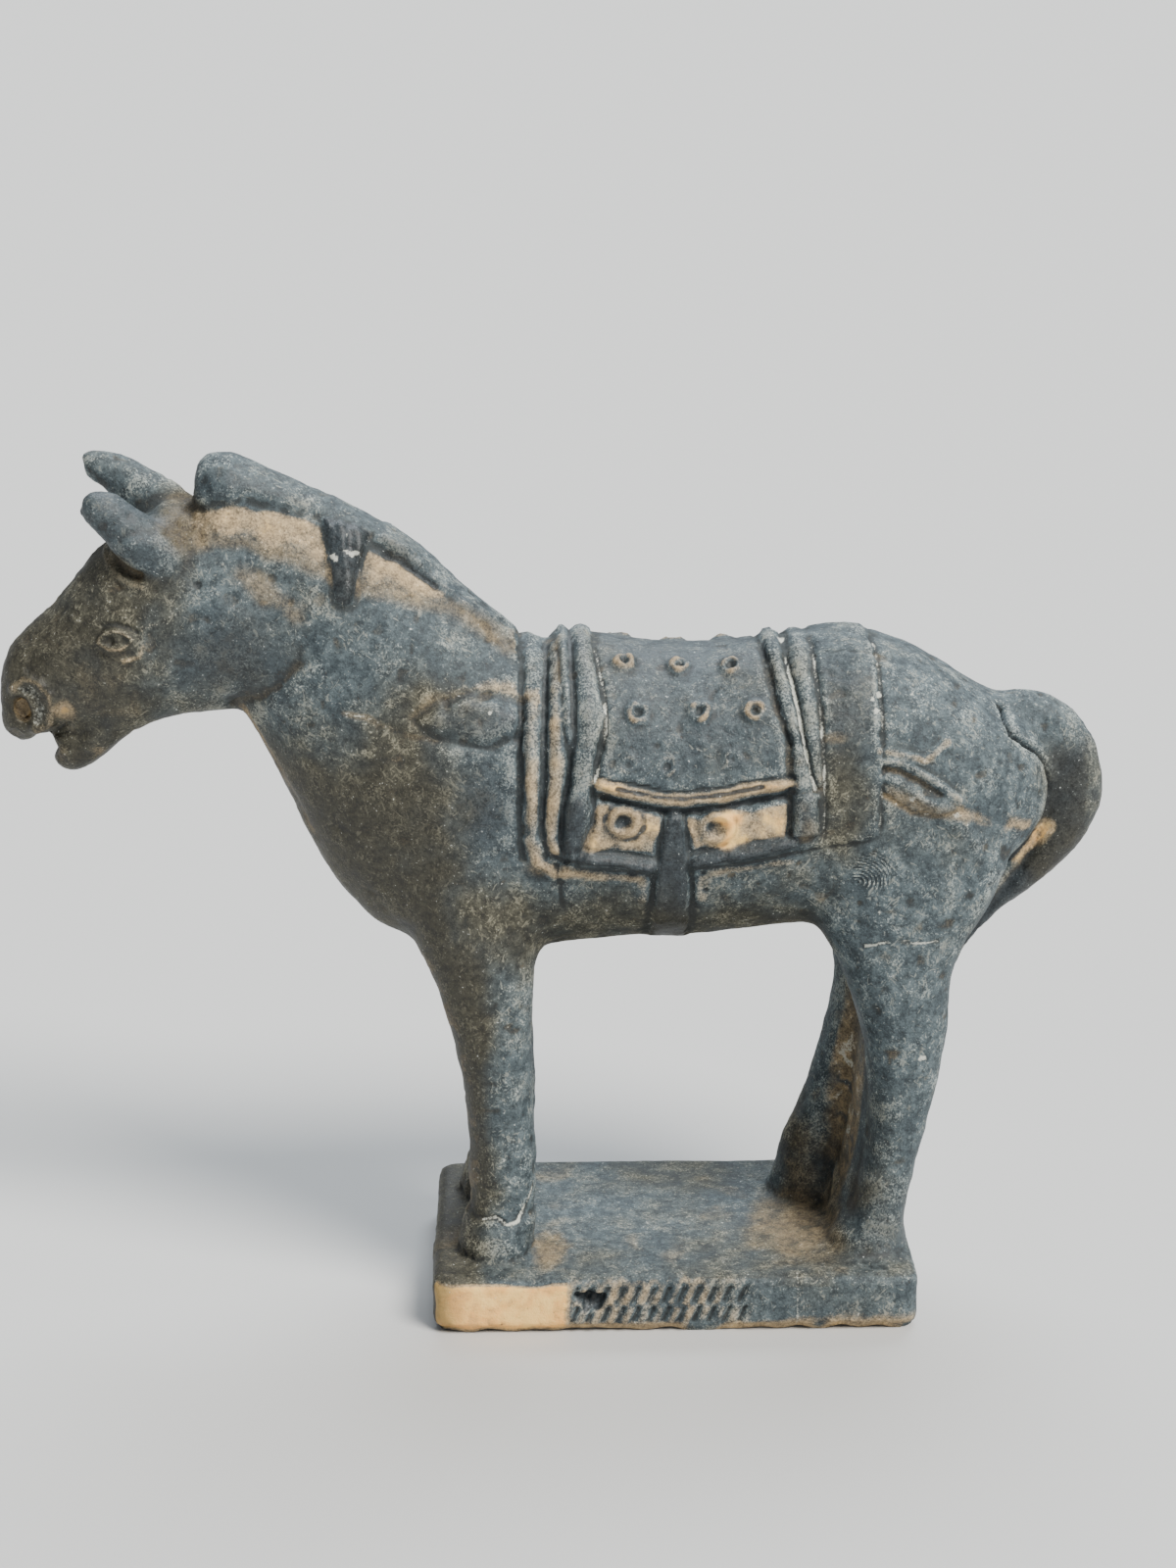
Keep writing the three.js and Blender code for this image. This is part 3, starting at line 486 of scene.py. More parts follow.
band = step(-above_roll + 0.4 * wander, 0.0, 1.1) * step(above_band + 0.5 * wander, -0.9, 1.9) * on_mane
band *= (np.abs(y) > 2) * np.where(near, 0.7 + 0.14 * wander, 0.4)
band *= (1 - 0.8 * step(x, -27, -20)) * (1 - 0.5 * step(-x, 49, 53))
stain(bare, band * (1 - step(depth_in(x, z, LOCK), -0.3, 0.2)))
stain(dust, 0.6 * bump(above_band + 0.5 * wander, 1.4) * on_mane * near)
stain(dust, 0.7 * bump(np.hypot(x + 51.2, (z - 89.6) * 0.8) + 0.5 * wander, 1.9) * near)

# Ears: blunt leaves drawn out of the head's clay, with a hollow low on their front. Dust has
# gathered between them and the mane.
EAR_ROOT = [(-61.6, 89.8), (-60.4, 87.8), (-58.7, 86.0), (-56.4, 84.9), (-54.2, 85.4), (-53.2, 87.6),
            (-56.0, 90.4)]
ear_root = step(depth_in(x, z, EAR_ROOT) + 0.2 * wander, -0.3, 1.3) * (np.abs(y) > 3)
lift += 0.6 * ear_root
ridge(-1, [(-62.0, 87.6), (-61.5, 86.2), (-60.6, 85.2), (-59.2, 84.3), (-57.8, 84.3)],
      0.35, 0.35, bared=0.15)
groove(-1, [(-61.0, 88.0), (-60.6, 86.8), (-59.7, 85.9), (-58.4, 85.4)],
       0.8, 0.6, dusted=0.6, darkened_and_shaded=0.75)
groove(-1, [(-61.7, 87.0), (-61.0, 85.6), (-60.4, 84.0)], 0.25, 0.3, dusted=0.6, darkened_and_shaded=0.5)
groove(1, [(-63.6, 88.6), (-62.4, 87.4), (-60.6, 86.6)], 0.5, 0.7, dusted=0.7)
notch = bump(np.hypot(x + 53.6, (z - 90.6) * 0.8) + 0.4 * wander, 2.9)
stain(dust, 0.62 * notch)
stain(brown, notch)
lift += notch * 0.3 * ripple

# Face: pressed with the head, then sharpened with a tool. It has a lidded eye with folds behind
# and below it, a flared nostril and a parted mouth.
for side in (-1, 1):
    lift += 0.4 * bump(from_point((-61.1, 78.5), side), 1.0)
    ridge(side, [(-62.8, 78.3), (-62.1, 79.1), (-61.1, 79.4), (-60.0, 79.2), (-59.2, 78.6)],
          0.45, 0.27, bared=0.3)
    ridge(side, [(-62.7, 78.1), (-61.7, 77.5), (-60.5, 77.5), (-59.3, 78.3)], 0.4, 0.25, bared=0.35)
    groove(side, [(-62.4, 79.9), (-61.0, 80.2), (-59.6, 79.9), (-58.4, 79.1)],
           0.25, 0.35, dusted=0.2, darkened_and_shaded=0.3)
    groove(side, [(-62.9, 77.1), (-61.4, 76.7), (-60.0, 76.9)], 0.15, 0.35, dusted=0.3)
    gap_pupil = from_point((-61.4, 78.4), side)
    lift -= 0.45 * bump(gap_pupil, 0.42)
    stain(dark_and_shade, 1.1 * bump(gap_pupil, 0.62))
    stain(dark_and_shade, 0.8 * bump(from_line([(-62.2, 78.2), (-60.0, 78.5)], side), 0.35))
    ridge(side, [(-58.3, 78.9), (-58.0, 79.9), (-56.5, 80.3)], 0.2, 0.35, bared=0.3)
    ridge(side, [(-60.2, 76.1), (-58.6, 76.6), (-58.0, 77.7)], 0.25, 0.4, bared=0.45)
    # Nostril: a raised ring, a paler band inside it and a rubbed hole
    gap_ring = from_line([(-72.6, 72.6), (-71.5, 73.6), (-69.9, 73.3), (-68.8, 72.1), (-68.6, 70.3),
                          (-69.2, 68.6), (-70.6, 67.9)], side)
    lift += 0.55 * bump(gap_ring, 0.65)
    stain(bare, 0.35 * bump(gap_ring, 0.6))
    gap_inner = from_line([(-71.6, 72.4), (-70.4, 72.0), (-69.9, 70.4), (-70.3, 69.0)], side)
    lift -= 0.35 * bump(gap_inner, 0.45)
    stain(dark_and_shade, 0.3 * bump(gap_inner, 0.6))
    stain(chalk, 0.5 * bump(gap_inner - 0.2, 0.8))
    hole = from_line([(-72.2, 70.6), (-72.0, 69.2)], side)
    lift -= 1.4 * bump(hole, 0.85)
    stain(dark_and_shade, bump(hole - 1.1, 0.4))
    stain(bare, bump(hole, 0.8))
    stain(bare, 0.95 * bump(from_point((-67.3, 70.2), side) + 0.3 * wander, 1.3) * near)
    # Mouth, with painted shade in its groove, and lower lip
    groove(side, [(-69.6, 66.4), (-68.6, 67.0), (-67.9, 67.6), (-67.2, 68.2)],
           0.8, 0.45, dusted=0.1, darkened_and_shaded=0.9)
    stain(bare, 0.5 * bump(from_point((-64.0, 65.0), side) + 0.3 * wander, 1.4))
    stain(dark_and_shade, 1.1 * bump(from_point((-66.0, 64.2), side), 1.5))
    stain(dust, 0.5 * bump(from_point((-68.4, 64.6), side) + 0.3 * wander, 1.1))
    # Cheek, a soft disc with an edge towards the neck
    groove(side, [(-48.7, 70.8), (-45.5, 72.2), (-43.2, 74.0), (-41.5, 76.3), (-40.6, 78.0), (-40.3, 79.9),
                  (-40.8, 82.0), (-42.2, 84.1), (-45.1, 85.6)], 0.3, 1.3, dusted=0.0)
    groove(side, [(-48.9, 70.2), (-45.5, 71.6), (-43.2, 73.4), (-41.5, 75.8)], 0.4, 0.35, dusted=0.4)
    gap_cheek = from_line([(-47.2, 85.4), (-45.3, 84.4), (-43.2, 82.8), (-41.7, 81.2)], side)
    stain(dust, 0.6 * bump(gap_cheek + 0.5 * wander, 1.6) * near)
# The lips part right across, so the notch shows in the outline
lift -= 1.5 * bump(line_gap(x, z, [(-70.3, 65.6), (-69.8, 65.0)]), 1.0) * (x < -66)

# Brown earth in the coat on the face, chest, belly and legs, and darker places on the tail, head, neck,
# chest and legs, some of them painted shade
drift = 2.5 * broad + 1.5 * wander
stain(brown, 0.95 * step(-x + drift, 50, 62) * (z < 88))
stain(brown, 0.95 * step(-x + drift, 20, 31) * step(82 - z + drift, 0, 22))
stain(brown, 0.85 * step(-x + 0.5 * drift, 18.5, 23.5) * step(52 - z, 0, 10))
stain(brown, 0.6 * step(56 - z + drift, 0, 9) * step(z, 38, 44) * step(19 - x + 0.5 * drift, 0, 5))
stain(brown, 0.9 * step(20 - x + 0.5 * drift, 0, 5) * step(x, 4, 8) * step(54 - z, 0, 10) * step(z, 8, 14))
stain(brown, 0.8 * bump(np.hypot((x - 17.5) / 3.5, (z - 60) / 8.5) + 0.2 * broad + 0.2 * wander, 1.0))
stain(brown, 0.6 * step(x, 38, 42) * step(68 - z, 0, 6))
stain(dark_and_shade, 0.82 * step(x, 39.5, 43.5) * step(72 - z + drift, 0, 8) * (1.25 - 0.8 * step(x, 45.2, 47.2)))
# Painted shade on the front of the head, which is turned from the light
stain(dark_and_shade, 0.6 * step(-x + 0.5 * drift, 58, 63) * (z < 80))
stain(dark_and_shade, 0.74 * bump(np.hypot((x + 48.5) / 10, (z - 77) / 7) + 0.2 * broad, 1.0))
stain(dark_and_shade, 0.6 * step(-x, 50, 53) * step(z, 82.5, 84.5) * near)
stain(dark_and_shade, 0.78 * bump(np.hypot((x + 21.5) / 5, (z - 60) / 9) + 0.15 * broad, 1.0))
stain(dark_and_shade, 0.55 * step(x, 19, 22) * step(20 - z, 0, 6) * (z > 7.4))
# Painted shade, darker towards the bottom of the neck and chest
stain(dark_and_shade, 0.6 * step(-x + 0.5 * drift, 21, 27) * step(72 - z + drift, 0, 10))
# Painted shade on the front leg's left side, which is turned from the light
stain(dark_and_shade, 0.6 * step(-x, 20, 21.5) * step(50 - z, 0, 6) * step(z, 12, 16))
# Painted shade on the near hind leg's left side, which is turned from the light
stain(dark_and_shade, 0.6 * step(22.5 - x, 0, 2) * step(x, 14, 16) * step(40 - z, 0, 6) * step(z, 8, 12)
      * step(-y, 5, 7))
brown *= 1 - 0.9 * ear_root
stain(dust, 0.32 * step(broad + wander, 0.3, 1.2) * step(-x, 55, 60) * (z < 82))
stain(dust, 0.85 * step(-normals[:, 0], 0.5, 0.85) * (x < -14) * step(z, 12, 16) * step(46 - z, 0, 6)
      * step(wander + ripple, -0.2, 0.6) * near)
groove(-1, [(-47.7, 69.6), (-45.9, 66.2), (-43.8, 62.7), (-42.1, 59.4), (-40.4, 56.0)],
       0.15, 0.45, dusted=1.0)

# Tail: luted on at the root, where the joint has cracked open. Below it an open gap parts the
# tail from the haunch, with bare clay on the haunch's edge.
# The crack at the root, with painted shade in it
groove(-1, [(36.3, 69.4), (36.5, 68.2), (37.1, 67.0), (38.4, 66.0), (39.8, 64.9), (41.0, 63.5),
            (41.7, 61.6), (42.0, 59.4)], 1.4, 0.36, dusted=0.0, darkened_and_shaded=1.6)
TAIL_GAP = [(33.6, 41.4), (36.2, 45.2), (39.2, 50.0), (41.2, 53.6), (41.9, 57.4), (42.2, 60.0)]
gap = from_line(TAIL_GAP[::-1], -1)
gap_x, gap_z = zip(*TAIL_GAP)
on_tail = step(x - np.interp(z, gap_z, gap_x), -0.3, 0.5) * (x > 33) * step(64 - z, 0, 3)
lift -= 0.6 * bump(gap, 0.5)
# Painted shade in the gap, and on the tail's side along it and low down
stain(dark_and_shade, 1.1 * bump(gap, 0.7))
stain(dark_and_shade, on_tail * (bump(gap, 2.4) + 0.6 * step(53 - z, 0, 5)))
gap_edge = from_line([(43.2, 63.0), (44.0, 59.0), (43.6, 54.0)], -1)
stain(dark_and_shade, 0.85 * on_tail * bump(gap_edge, 2.0))
gap_rubbed = from_line([(38.9, 51.2), (40.6, 53.0), (42.2, 55.4)], -1)
rubbed_through = bump(gap_rubbed + 0.4 * wander + 0.4 * ripple, 0.9)
stain(bare, rubbed_through)
dark_and_shade *= 1 - 0.9 * rubbed_through
stain(dust, 0.6 * bump(gap + 0.4 * wander, 1.2) * (1 - on_tail) * (x > 30))

# Marks of making and handling in the fired skin: hairlines, pinholes, scratches, flecks of
# chalk and one fingerprint left in the soft clay.
groove(-1, [(20.8, 44.4), (23.1, 45.0), (25.3, 45.1), (26.9, 44.8), (28.7, 45.0)],
       0.12, 0.3, dusted=0.2, chalked=0.9)
groove(-1, [(-36.5, 70.6), (-33.8, 70.2), (-31.7, 69.3), (-29.0, 68.3), (-26.4, 67.8)],
       0.14, 0.32, dusted=0.5, chalked=0.55)
groove(-1, [(-21.8, 11.6), (-20.4, 12.0), (-19.2, 11.2), (-18.0, 11.4), (-16.6, 13.4), (-16.2, 14.8)],
       0.35, 0.35, dusted=0.3, chalked=1.1)
for start, end in (((14.2, 56.9), (18.8, 57.1)), ((14.5, 55.9), (18.8, 56.3)),
                   ((14.0, 56.3), (17.4, 56.9))):
    groove(-1, [start, end], 0.1, 0.16, dusted=0.0, chalked=0.55)
for place, radius in (((-5.1, 53.3), 0.42), ((2.7, 53.2), 0.3), ((3.0, 51.0), 0.35), ((-40.5, 93.2), 0.3),
                      ((-27.6, 58.0), 0.3), ((-52.0, 84.5), 0.35)):
    gap = from_point(place, -1)
    lift -= 0.5 * bump(gap, radius)
    stain(dark_and_shade, bump(gap, radius * 1.2))
for place, radius in (((21.8, 72.5), 0.35), ((21.4, 70.9), 0.3), ((21.0, 72.0), 0.2), ((22.4, 47.6), 0.4),
                      ((23.2, 47.0), 0.35), ((22.9, 46.2), 0.3), ((22.0, 48.4), 0.3), ((27.6, 31.0), 0.4),
                      ((25.6, 72.4), 0.25), ((-20.6, 70.6), 0.2)):
    stain(chalk, 1.3 * bump(from_point(place, -1) + 0.1 * ripple, radius))
PRINT_PLACE = (21.4, 53.2)
PRINT_REACH = 2.9
PRINT_WAVE = 14.0
on_print = step(PRINT_REACH - np.hypot(x - PRINT_PLACE[0], z - PRINT_PLACE[1]), 0, 1.0) * near
print_ridges = np.cos(np.hypot(x - 19.6, (z - 52.0) * 1.2) * PRINT_WAVE + 1.5 * wander)
lift += 0.11 * print_ridges * on_print
stain(chalk, 0.55 * on_print * (print_ridges > 0.2))

# Plinth: a low slab, worn bare at the front's left end, its lower edge left wavy. Rows of short
# strokes are pressed into the front, with a black pit broken into them.
STROKE_ROWS = 2.18, 4.62
STROKES_IN_ROW = 12
STROKES_MIDDLE = -2.1
STROKE_LENGTH = 1.97
STROKE_PITCH = 1.72
STROKE_LEAN = math.radians(22)
PIT_PLACE = (-9.8, 4.0)
face_clay = (y < PLINTH_FACE + 1.2) & (z < PLINTH_TOP + 0.2)
cuts = np.full(len(p), 9.0)
reach = np.array([math.sin(STROKE_LEAN), math.cos(STROKE_LEAN)]) * STROKE_LENGTH / 2
for height in STROKE_ROWS:
    for i in range(STROKES_IN_ROW):
        middle = STROKES_MIDDLE + (i - (STROKES_IN_ROW - 1) / 2) * STROKE_PITCH
        cuts = np.minimum(cuts, line_gap(x, z, [(middle, height) - reach, (middle, height) + reach]))
pit = np.hypot((x - PIT_PLACE[0]) / 1.6, (z - PIT_PLACE[1]) / 1.2) + 0.35 * ripple
lift -= face_clay * (0.5 * bump(cuts, 0.3) + 1.2 * step(-pit, -1.1, -0.6))
stain(dark_and_shade, 1.3 * face_clay * step(-pit, -1.15, -0.8))
# Painted shade in the pressed strokes
stain(dark_and_shade, 0.3 * face_clay * bump(cuts, 0.28))
stain(bare, 0.42 * face_clay * bump(cuts - 0.75, 0.5) * (1 - 0.5 * step(x, 0, 9)) * (0.9 + 0.5 * wander))
bare_front = step(-x, 11.8, 12.9) + 0.3 * step(-x, -9, 6) * step(ripple + wander, -0.5, 0.6)
bare_front = np.clip(bare_front, 0, 1) * face_clay * (z > 0.3) * step(6.3 - z + 0.3 * wander, 0, 0.6)
stain(bare, 1.1 * bare_front)
foot = bump(z - 0.5 + 0.3 * wander, 0.9 + 0.7 * step(x, 9, 14))
stain(bare, 0.75 * face_clay * foot * step(wander + broad, -0.8, 0.3))
stain(bare, 0.4 * face_clay * step(broad + wander, 0.0, 1.2) * step(x, 8, 14) * step(4.5 - z, 0, 2))
stain(chalk, 0.35 * bump(z - PLINTH_TOP, 0.5) * (y < -15.5) * step(wander, -0.3, 0.6))
FACE_CRACK = 13.7
lift -= 0.1 * face_clay * bump(x - FACE_CRACK, 0.25)
stain(chalk, 0.6 * face_clay * bump(x - FACE_CRACK, 0.3))
hoof = step(11.5 - z + 0.3 * ripple, -0.2, 0.4) * (z > 7.4) * (np.abs(y) > 5)
lift += 0.45 * hoof * (x < -13)
groove(-1, [(-16.6, 11.6), (-16.3, 9.8), (-16.2, 8.0)], 0.2, 0.35, dusted=0.4, chalked=0.7)
rim = bump(z, 0.9) * (np.abs(y) + 40 * (np.abs(x) > 26) > 15.5)
lift -= rim * (0.25 + 0.35 * broad + 0.25 * wander) * 0.8
top_clay = (z > PLINTH_TOP - 0.4) & (z < PLINTH_TOP + 0.5)
lift = np.where(top_clay, 0.08 * broad + 0.03 * ripple, lift)

# Clotted dust round the hooves, and the dirty web of clay between the hind legs
clotted = bump(np.hypot((x - 15.2) / 6.0, (y + 4.0) / 10.0) + 0.35 * wander + 0.2 * ripple, 1.0)
clotted *= step(23 - z, 0, 8) * (z > 5.5)
behind_hoof = bump(np.hypot((x + 14.2) / 2.2, (y + 9.5) / 5.5) + 0.3 * wander, 1.0)
stain(clotted, behind_hoof * step(13 - z, 0, 3) * (z > 5.5))
before_hoof = bump(np.hypot(x + 25.4, y + 6.0) / 3.2 + 0.3 * wander, 1.0)
stain(clotted, 0.7 * before_hoof * step(22 - z, 0, 6))
stain(dust, (0.85 + 0.5 * ripple + 0.2 * wander) * clotted)
stain(brown, 0.3 * top_clay)
stain(chalk, 0.35 * clotted * step(ripple + wander, 0.2, 0.9))
stain(dark_and_shade, 0.5 * clotted)
stain(brown, clotted)
on_web = bump(np.hypot((x - 20.8) / 2.2, (z - 22) / 14) + 0.15 * wander, 1.0)
on_web *= step(5.0 - np.abs(y), 0, 1)
stain(dust, 0.9 * on_web * (1 + 0.4 * ripple))
stain(bare, 0.62 * on_web * step(wander, -0.3, 0.5))
stain(chalk, 0.7 * on_web * step(wander + ripple, -0.3, 0.6))
dark_and_shade *= 1 - 0.8 * on_web
stain(dark_and_shade, 0.8 * on_web * step(-wander - ripple, 0.4, 1.0))
lift += clotted * (0.25 * np.abs(ripple) + 0.15 * wander)
stain(dust, 0.35 * step(z, PLINTH_TOP - 0.5, PLINTH_TOP) * (z < PLINTH_TOP + 0.6)
      * step(wander + broad, 0.1, 1.2))

# Clay moved, kept on its flat underside and within the size of the solid
low, high = (np.array(corner) / MM for corner in cad_box)
under = normals[:, 2] < -0.7
shaped = p + normals * lift[:, None]
shaped[:, 2] = np.where(under & (z < 0.3), 0, shaped[:, 2])
chipped = np.clip(0.5 * wander + 0.45 * broad + 0.1, 0, 0.7) * bump(z, 1.1) * step(-y, 14.5, 16.2)
shaped[:, 2] += chipped
shaped = np.clip(shaped, low, high)
ends = np.array([[vert.index for vert in edge.verts] for edge in clay.edges])
count = np.bincount(ends.ravel(), minlength=len(shaped))


def evened(values, turns):
    """Values of the clay's points, evened out with those of their neighbours."""
    for turn in range(turns):
        values = (np.bincount(ends[:, 0], values[ends[:, 1]], len(count))
                  + np.bincount(ends[:, 1], values[ends[:, 0]], len(count))) / count
    return values


# How hollow the skin is at each point; the material paints shade into the hollows with it
hollow = sum((evened(shaped[:, axis], 10) - shaped[:, axis]) * normals[:, axis] for axis in range(3)) / 0.12
hollow -= evened(hollow, 30)
hollow *= np.where(top_clay, 0.2, 1) * (1 - 0.5 * step(12 - z, 0, 4))
move_clay(shaped)
horse = bpy.data.meshes.new("clay_horse")
clay.to_mesh(horse)
clay.free()
for name, mask in (("bare", bare), ("dust", dust), ("chalk", chalk), ("dark_and_shade", dark_and_shade), ("brown", brown),
                   ("hollow", hollow)):
    layer = horse.attributes.new(name, "FLOAT", "POINT")
    layer.data.foreach_set("value", np.clip(mask, -1, 1.3).astype(np.float32))
for polygon in horse.polygons:
    polygon.use_smooth = True
horse_piece = bpy.data.objects.new("clay_horse", horse)
bpy.context.scene.collection.objects.link(horse_piece)

# Fired clay under a smoked slate coat, rubbed through to peach clay, with ochre dust and chalk.
# The coat turns to umber where earth has browned it. Pairs of colours run from the darkest
# grains to the lightest.
SLATE_LOW = (0.016, 0.023, 0.028), (0.070, 0.094, 0.105)
SLATE_HIGH = (0.038, 0.051, 0.058), (0.142, 0.182, 0.195)
SLATE_RUBBED = (0.13, 0.158, 0.162), (0.40, 0.445, 0.42)
SLATE_DARKEST_AND_SHADE = (0.008, 0.010, 0.012), (0.040, 0.052, 0.060)
SLATE_SCRATCH = (0.28, 0.30, 0.27)
UMBER_LOW = (0.011, 0.010, 0.007), (0.052, 0.049, 0.034)
UMBER_HIGH = (0.027, 0.026, 0.018), (0.112, 0.107, 0.078)
UMBER_RUBBED = (0.12, 0.11, 0.08), (0.34, 0.32, 0.23)
UMBER_DARKEST_AND_SHADE = (0.009, 0.008, 0.005), (0.044, 0.040, 0.026)
UMBER_SCRATCH = (0.23, 0.215, 0.155)
DEEP_SHADE = (0.016, 0.018, 0.018)
OCHRE_DUST = (0.062, 0.045, 0.026), (0.34, 0.255, 0.14)
THIN_COAT = (0.18, 0.135, 0.08), (0.60, 0.445, 0.25)
PEACH_CLAY = (0.94, 0.49, 0.14), (1.0, 0.65, 0.22)
PORE = (0.055, 0.047, 0.038)
CHALK = (0.56, 0.57, 0.50)
WHITE_FLECK = (0.62, 0.64, 0.61)
SCRATCHES = (35, 0.36), (-48, 0.41), (80, 0.33)
smoked_clay = bpy.data.materials.new("smoked_clay")
smoked_clay.use_nodes = True
nodes = smoked_clay.node_tree.nodes
links = smoked_clay.node_tree.links
shader = nodes["Principled BSDF"]
place = nodes.new("ShaderNodeTexCoord").outputs["Object"]


def speckle(size, detail, roughness=0.6, warp=0.0, lean=0.0, lengthwise=1.0):
    """Mottling with grains of one size in mm, drawn out lengthwise at a lean in degrees."""
    node = nodes.new("ShaderNodeTexNoise")
    turned = nodes.new("ShaderNodeMapping")
    turned.vector_type = "TEXTURE"
    turned.inputs["Rotation"].default_value = (0, math.radians(lean), 0)
    turned.inputs["Scale"].default_value = (lengthwise, 1, 1)
    links.new(place, turned.inputs["Vector"])
    node.inputs["Scale"].default_value = 1 / (size * MM)
    node.inputs["Detail"].default_value = detail
    node.inputs["Roughness"].default_value = roughness
    node.inputs["Distortion"].default_value = warp
    links.new(turned.outputs["Vector"], node.inputs["Vector"])
    return node.outputs["Fac"]


def worn(name):
    """One of the masks kept on the mesh."""
    node = nodes.new("ShaderNodeAttribute")
    node.attribute_name = name
    return node.outputs["Fac"]


def sums(*terms):
    """Weighted sum of signals."""
    whole = None
    for signal, weight in terms:
        node = nodes.new("ShaderNodeMath")
        node.operation = "MULTIPLY_ADD"
        links.new(signal, node.inputs[0])
        node.inputs[1].default_value = weight
        node.inputs[2].default_value = 0
        if whole is not None:
            links.new(whole, node.inputs[2])
        whole = node.outputs[0]
    return whole


def between(signal, low, high, to_low=0.0, to_high=1.0):
    """A signal's smooth climb between two values."""
    node = nodes.new("ShaderNodeMapRange")
    node.interpolation_type = "SMOOTHSTEP"
    links.new(signal, node.inputs["Value"])
    node.inputs["From Min"].default_value = low
    node.inputs["From Max"].default_value = high
    node.inputs["To Min"].default_value = to_low
    node.inputs["To Max"].default_value = to_high
    return node.outputs["Result"]


def over(under, colour, cover):
    """One colour laid over another where it covers."""
    node = nodes.new("ShaderNodeMix")
    node.data_type = "RGBA"
    links.new(cover, node.inputs["Factor"])
    for socket, given in ((node.inputs[6], under), (node.inputs[7], colour)):
        if isinstance(given, tuple):
            socket.default_value = (*given, 1)
        else:
            links.new(given, socket)
    return node.outputs[2]


clouds = speckle(13, 2)
mottle = speckle(3.2, 4, 0.55, 0.4)
grain = speckle(0.9, 3, 0.65)
fleck = speckle(0.24, 3, 0.65, 0.5)
fine = between(sums((fleck, 0.5), (grain, 0.5)), 0.32, 0.68)
patchy = between(sums((mottle, 0.75), (grain, 0.25)), 0.34, 0.66)
specks = sums((fleck, 0.7), (grain, 0.3))

# Slate and umber coat, its rubbed and scratched places, and painted shade in its hollows
earthy = between(sums((worn("brown"), 0.65), (clouds, 0.9), (mottle, 0.3)), 0.55, 1.15)
slate = over(over(*SLATE_LOW, fine), over(*SLATE_HIGH, fine), patchy)
umber = over(over(*UMBER_LOW, fine), over(*UMBER_HIGH, fine), patchy)
coat = over(slate, umber, earthy)
rubbed = between(sums((fleck, 0.9), (mottle, 0.5), (worn("hollow"), -0.17)), 0.79, 0.96, 0.0, 0.75)
coat = over(coat, over(over(*SLATE_RUBBED, fine), over(*UMBER_RUBBED, fine), earthy), rubbed)
for lean, width in SCRATCHES:
    scratches = speckle(width, 1, 0.5, 0.8, lean, 3.2)
    scratched = between(sums((scratches, 0.8), (mottle, 0.35)), 0.70, 0.78, 0.0, 0.6)
    coat = over(coat, over(SLATE_SCRATCH, UMBER_SCRATCH, earthy), scratched)
shaded = between(sums((worn("hollow"), 0.8), (grain, 0.3)), 0.30, 0.95, 0.0, 0.75)
coat = over(coat, DEEP_SHADE, shaded)

# Dust, the coat worn thin, the clay worn bare, and its pores
dusty = between(sums((worn("dust"), 0.7), (mottle, 0.45), (fleck, 0.3)), 0.48, 1.02, 0.0, 0.9)
coat = over(coat, over(*OCHRE_DUST, fine), dusty)
thin = between(sums((worn("bare"), 0.7), (mottle, 0.5), (fleck, 0.35), (worn("hollow"), -0.1)), 0.56, 0.98)
coat = over(coat, over(*THIN_COAT, fine), thin)
through = between(sums((worn("bare"), 0.7), (mottle, 0.45), (grain, 0.3)), 0.90, 1.18)
coat = over(coat, over(*PEACH_CLAY, between(mottle, 0.36, 0.62)), through)
coat = over(coat, PORE, between(specks, 0.31, 0.38, 0.85, 0.0))

# Darkest places of the coat, painted shade in grooves, gaps and turned-away sides, chalk and white flecks
darkest_and_shade = between(sums((worn("dark_and_shade"), 0.9), (mottle, 0.3), (grain, 0.2)), 0.5, 1.05, 0.0, 0.94)
coat = over(coat, over(over(*SLATE_DARKEST_AND_SHADE, fine), over(*UMBER_DARKEST_AND_SHADE, fine), earthy), darkest_and_shade)
chalky = between(sums((worn("chalk"), 0.8), (fleck, 0.5), (grain, 0.4)), 0.78, 1.05, 0.0, 0.9)
coat = over(coat, CHALK, chalky)
coat = over(coat, WHITE_FLECK, between(specks, 0.645, 0.68, 0.0, 0.9))
links.new(coat, shader.inputs["Base Color"])

polish = sums((mottle, 0.5), (worn("dark_and_shade"), -0.4), (grain, 0.5))
links.new(between(polish, 0.0, 0.75, 0.42, 0.86), shader.inputs["Roughness"])
relief = nodes.new("ShaderNodeBump")
relief.inputs["Strength"].default_value = 0.8
relief.inputs["Distance"].default_value = 0.16 * MM
links.new(sums((grain, 0.7), (fleck, 0.5), (mottle, 0.8)), relief.inputs["Height"])
links.new(relief.outputs["Normal"], shader.inputs["Normal"])
shader.inputs["Specular IOR Level"].default_value = 0.35
horse.materials.append(smoked_clay)
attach(horse_piece, "root")
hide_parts("horse")

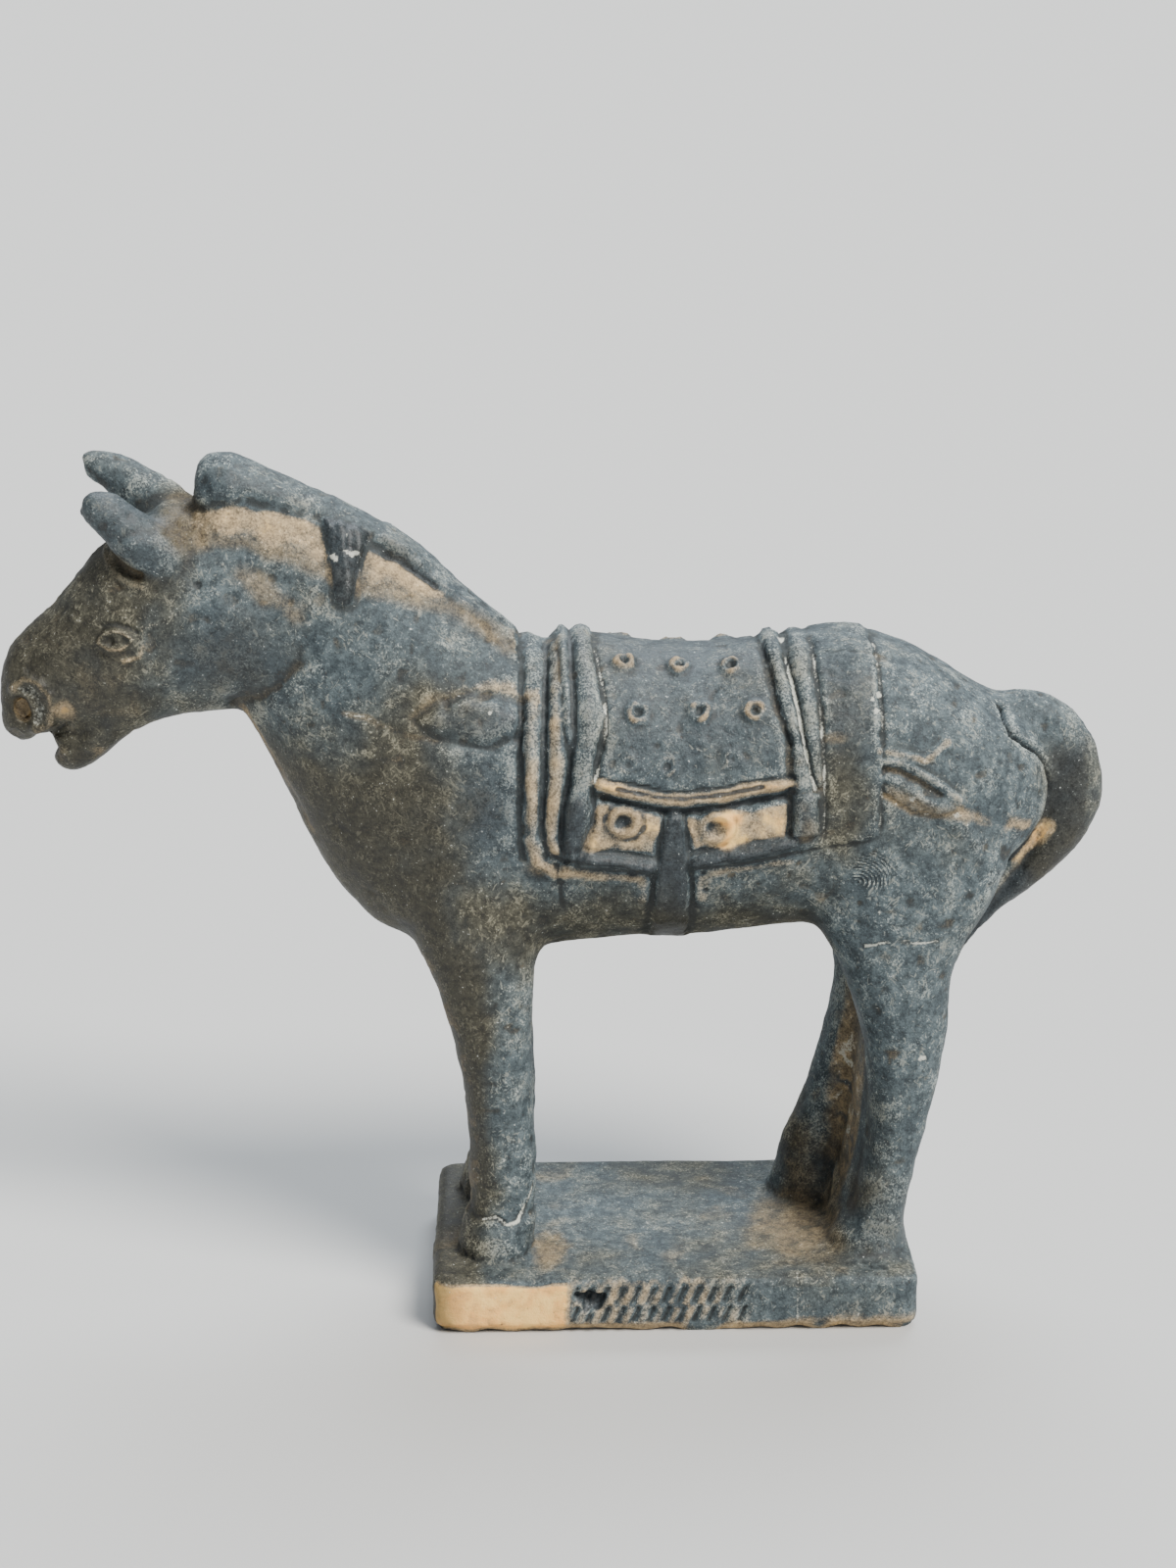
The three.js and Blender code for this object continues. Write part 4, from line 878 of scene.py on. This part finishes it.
# Plain pale floor, soft light from the near right and from above and behind, and a camera at
# the photograph's viewing angle. None of it belongs to the horse.
ground = bmesh.new()
bmesh.ops.create_grid(ground, x_segments=1, y_segments=1, size=16)
floor_mesh = bpy.data.meshes.new("floor")
ground.to_mesh(floor_mesh)
ground.free()
floor = bpy.data.objects.new("floor", floor_mesh)
bpy.context.scene.collection.objects.link(floor)
floor_paint = bpy.data.materials.new("floor_paint")
floor_paint.use_nodes = True
paint = floor_paint.node_tree.nodes["Principled BSDF"]
paint.inputs["Base Color"].default_value = (0.52, 0.52, 0.51, 1)
paint.inputs["Roughness"].default_value = 0.9
floor_mesh.materials.append(floor_paint)

world = bpy.data.worlds.new("studio")
world.use_nodes = True
sky = world.node_tree.nodes["Background"]
sky.inputs["Color"].default_value = (0.82, 0.86, 0.92, 1)
sky.inputs["Strength"].default_value = 0.36
bpy.context.scene.world = world


def lamp(name, spot, width, strength, colour):
    """Soft parallel light from a direction, its width in degrees."""
    light = bpy.data.lights.new(name, "SUN")
    light.angle = math.radians(width)
    light.energy = strength
    light.color = colour
    holder = bpy.data.objects.new(name, light)
    holder.rotation_euler = (-Vector(spot)).to_track_quat("-Z", "Y").to_euler()
    bpy.context.scene.collection.objects.link(holder)


lamp("window_light", (0.1, 0.5, 0.8), 40, 3.4, (0.86, 0.93, 1.0))
lamp("room_light", (0.45, -0.45, 0.75), 25, 6.0, (1.0, 0.97, 0.92))

VIEW_LENS = 67.5
VIEW_TURN = math.radians(-1.5)
VIEW_RISE = math.radians(16.262)
VIEW_DISTANCE = 0.33189
VIEW_AIM = Vector((-0.009615, 0, 0.059836))
backwards = Vector((math.sin(VIEW_TURN) * math.cos(VIEW_RISE), -math.cos(VIEW_TURN) * math.cos(VIEW_RISE),
                    math.sin(VIEW_RISE)))
lens = bpy.data.cameras.new("camera")
lens.lens = VIEW_LENS
lens.sensor_width = 36
lens.clip_start = 0.01
camera = bpy.data.objects.new("camera", lens)
camera.location = VIEW_AIM + backwards * VIEW_DISTANCE
camera.rotation_euler = (-backwards).to_track_quat("-Z", "Y").to_euler()
bpy.context.scene.collection.objects.link(camera)
bpy.context.scene.camera = camera
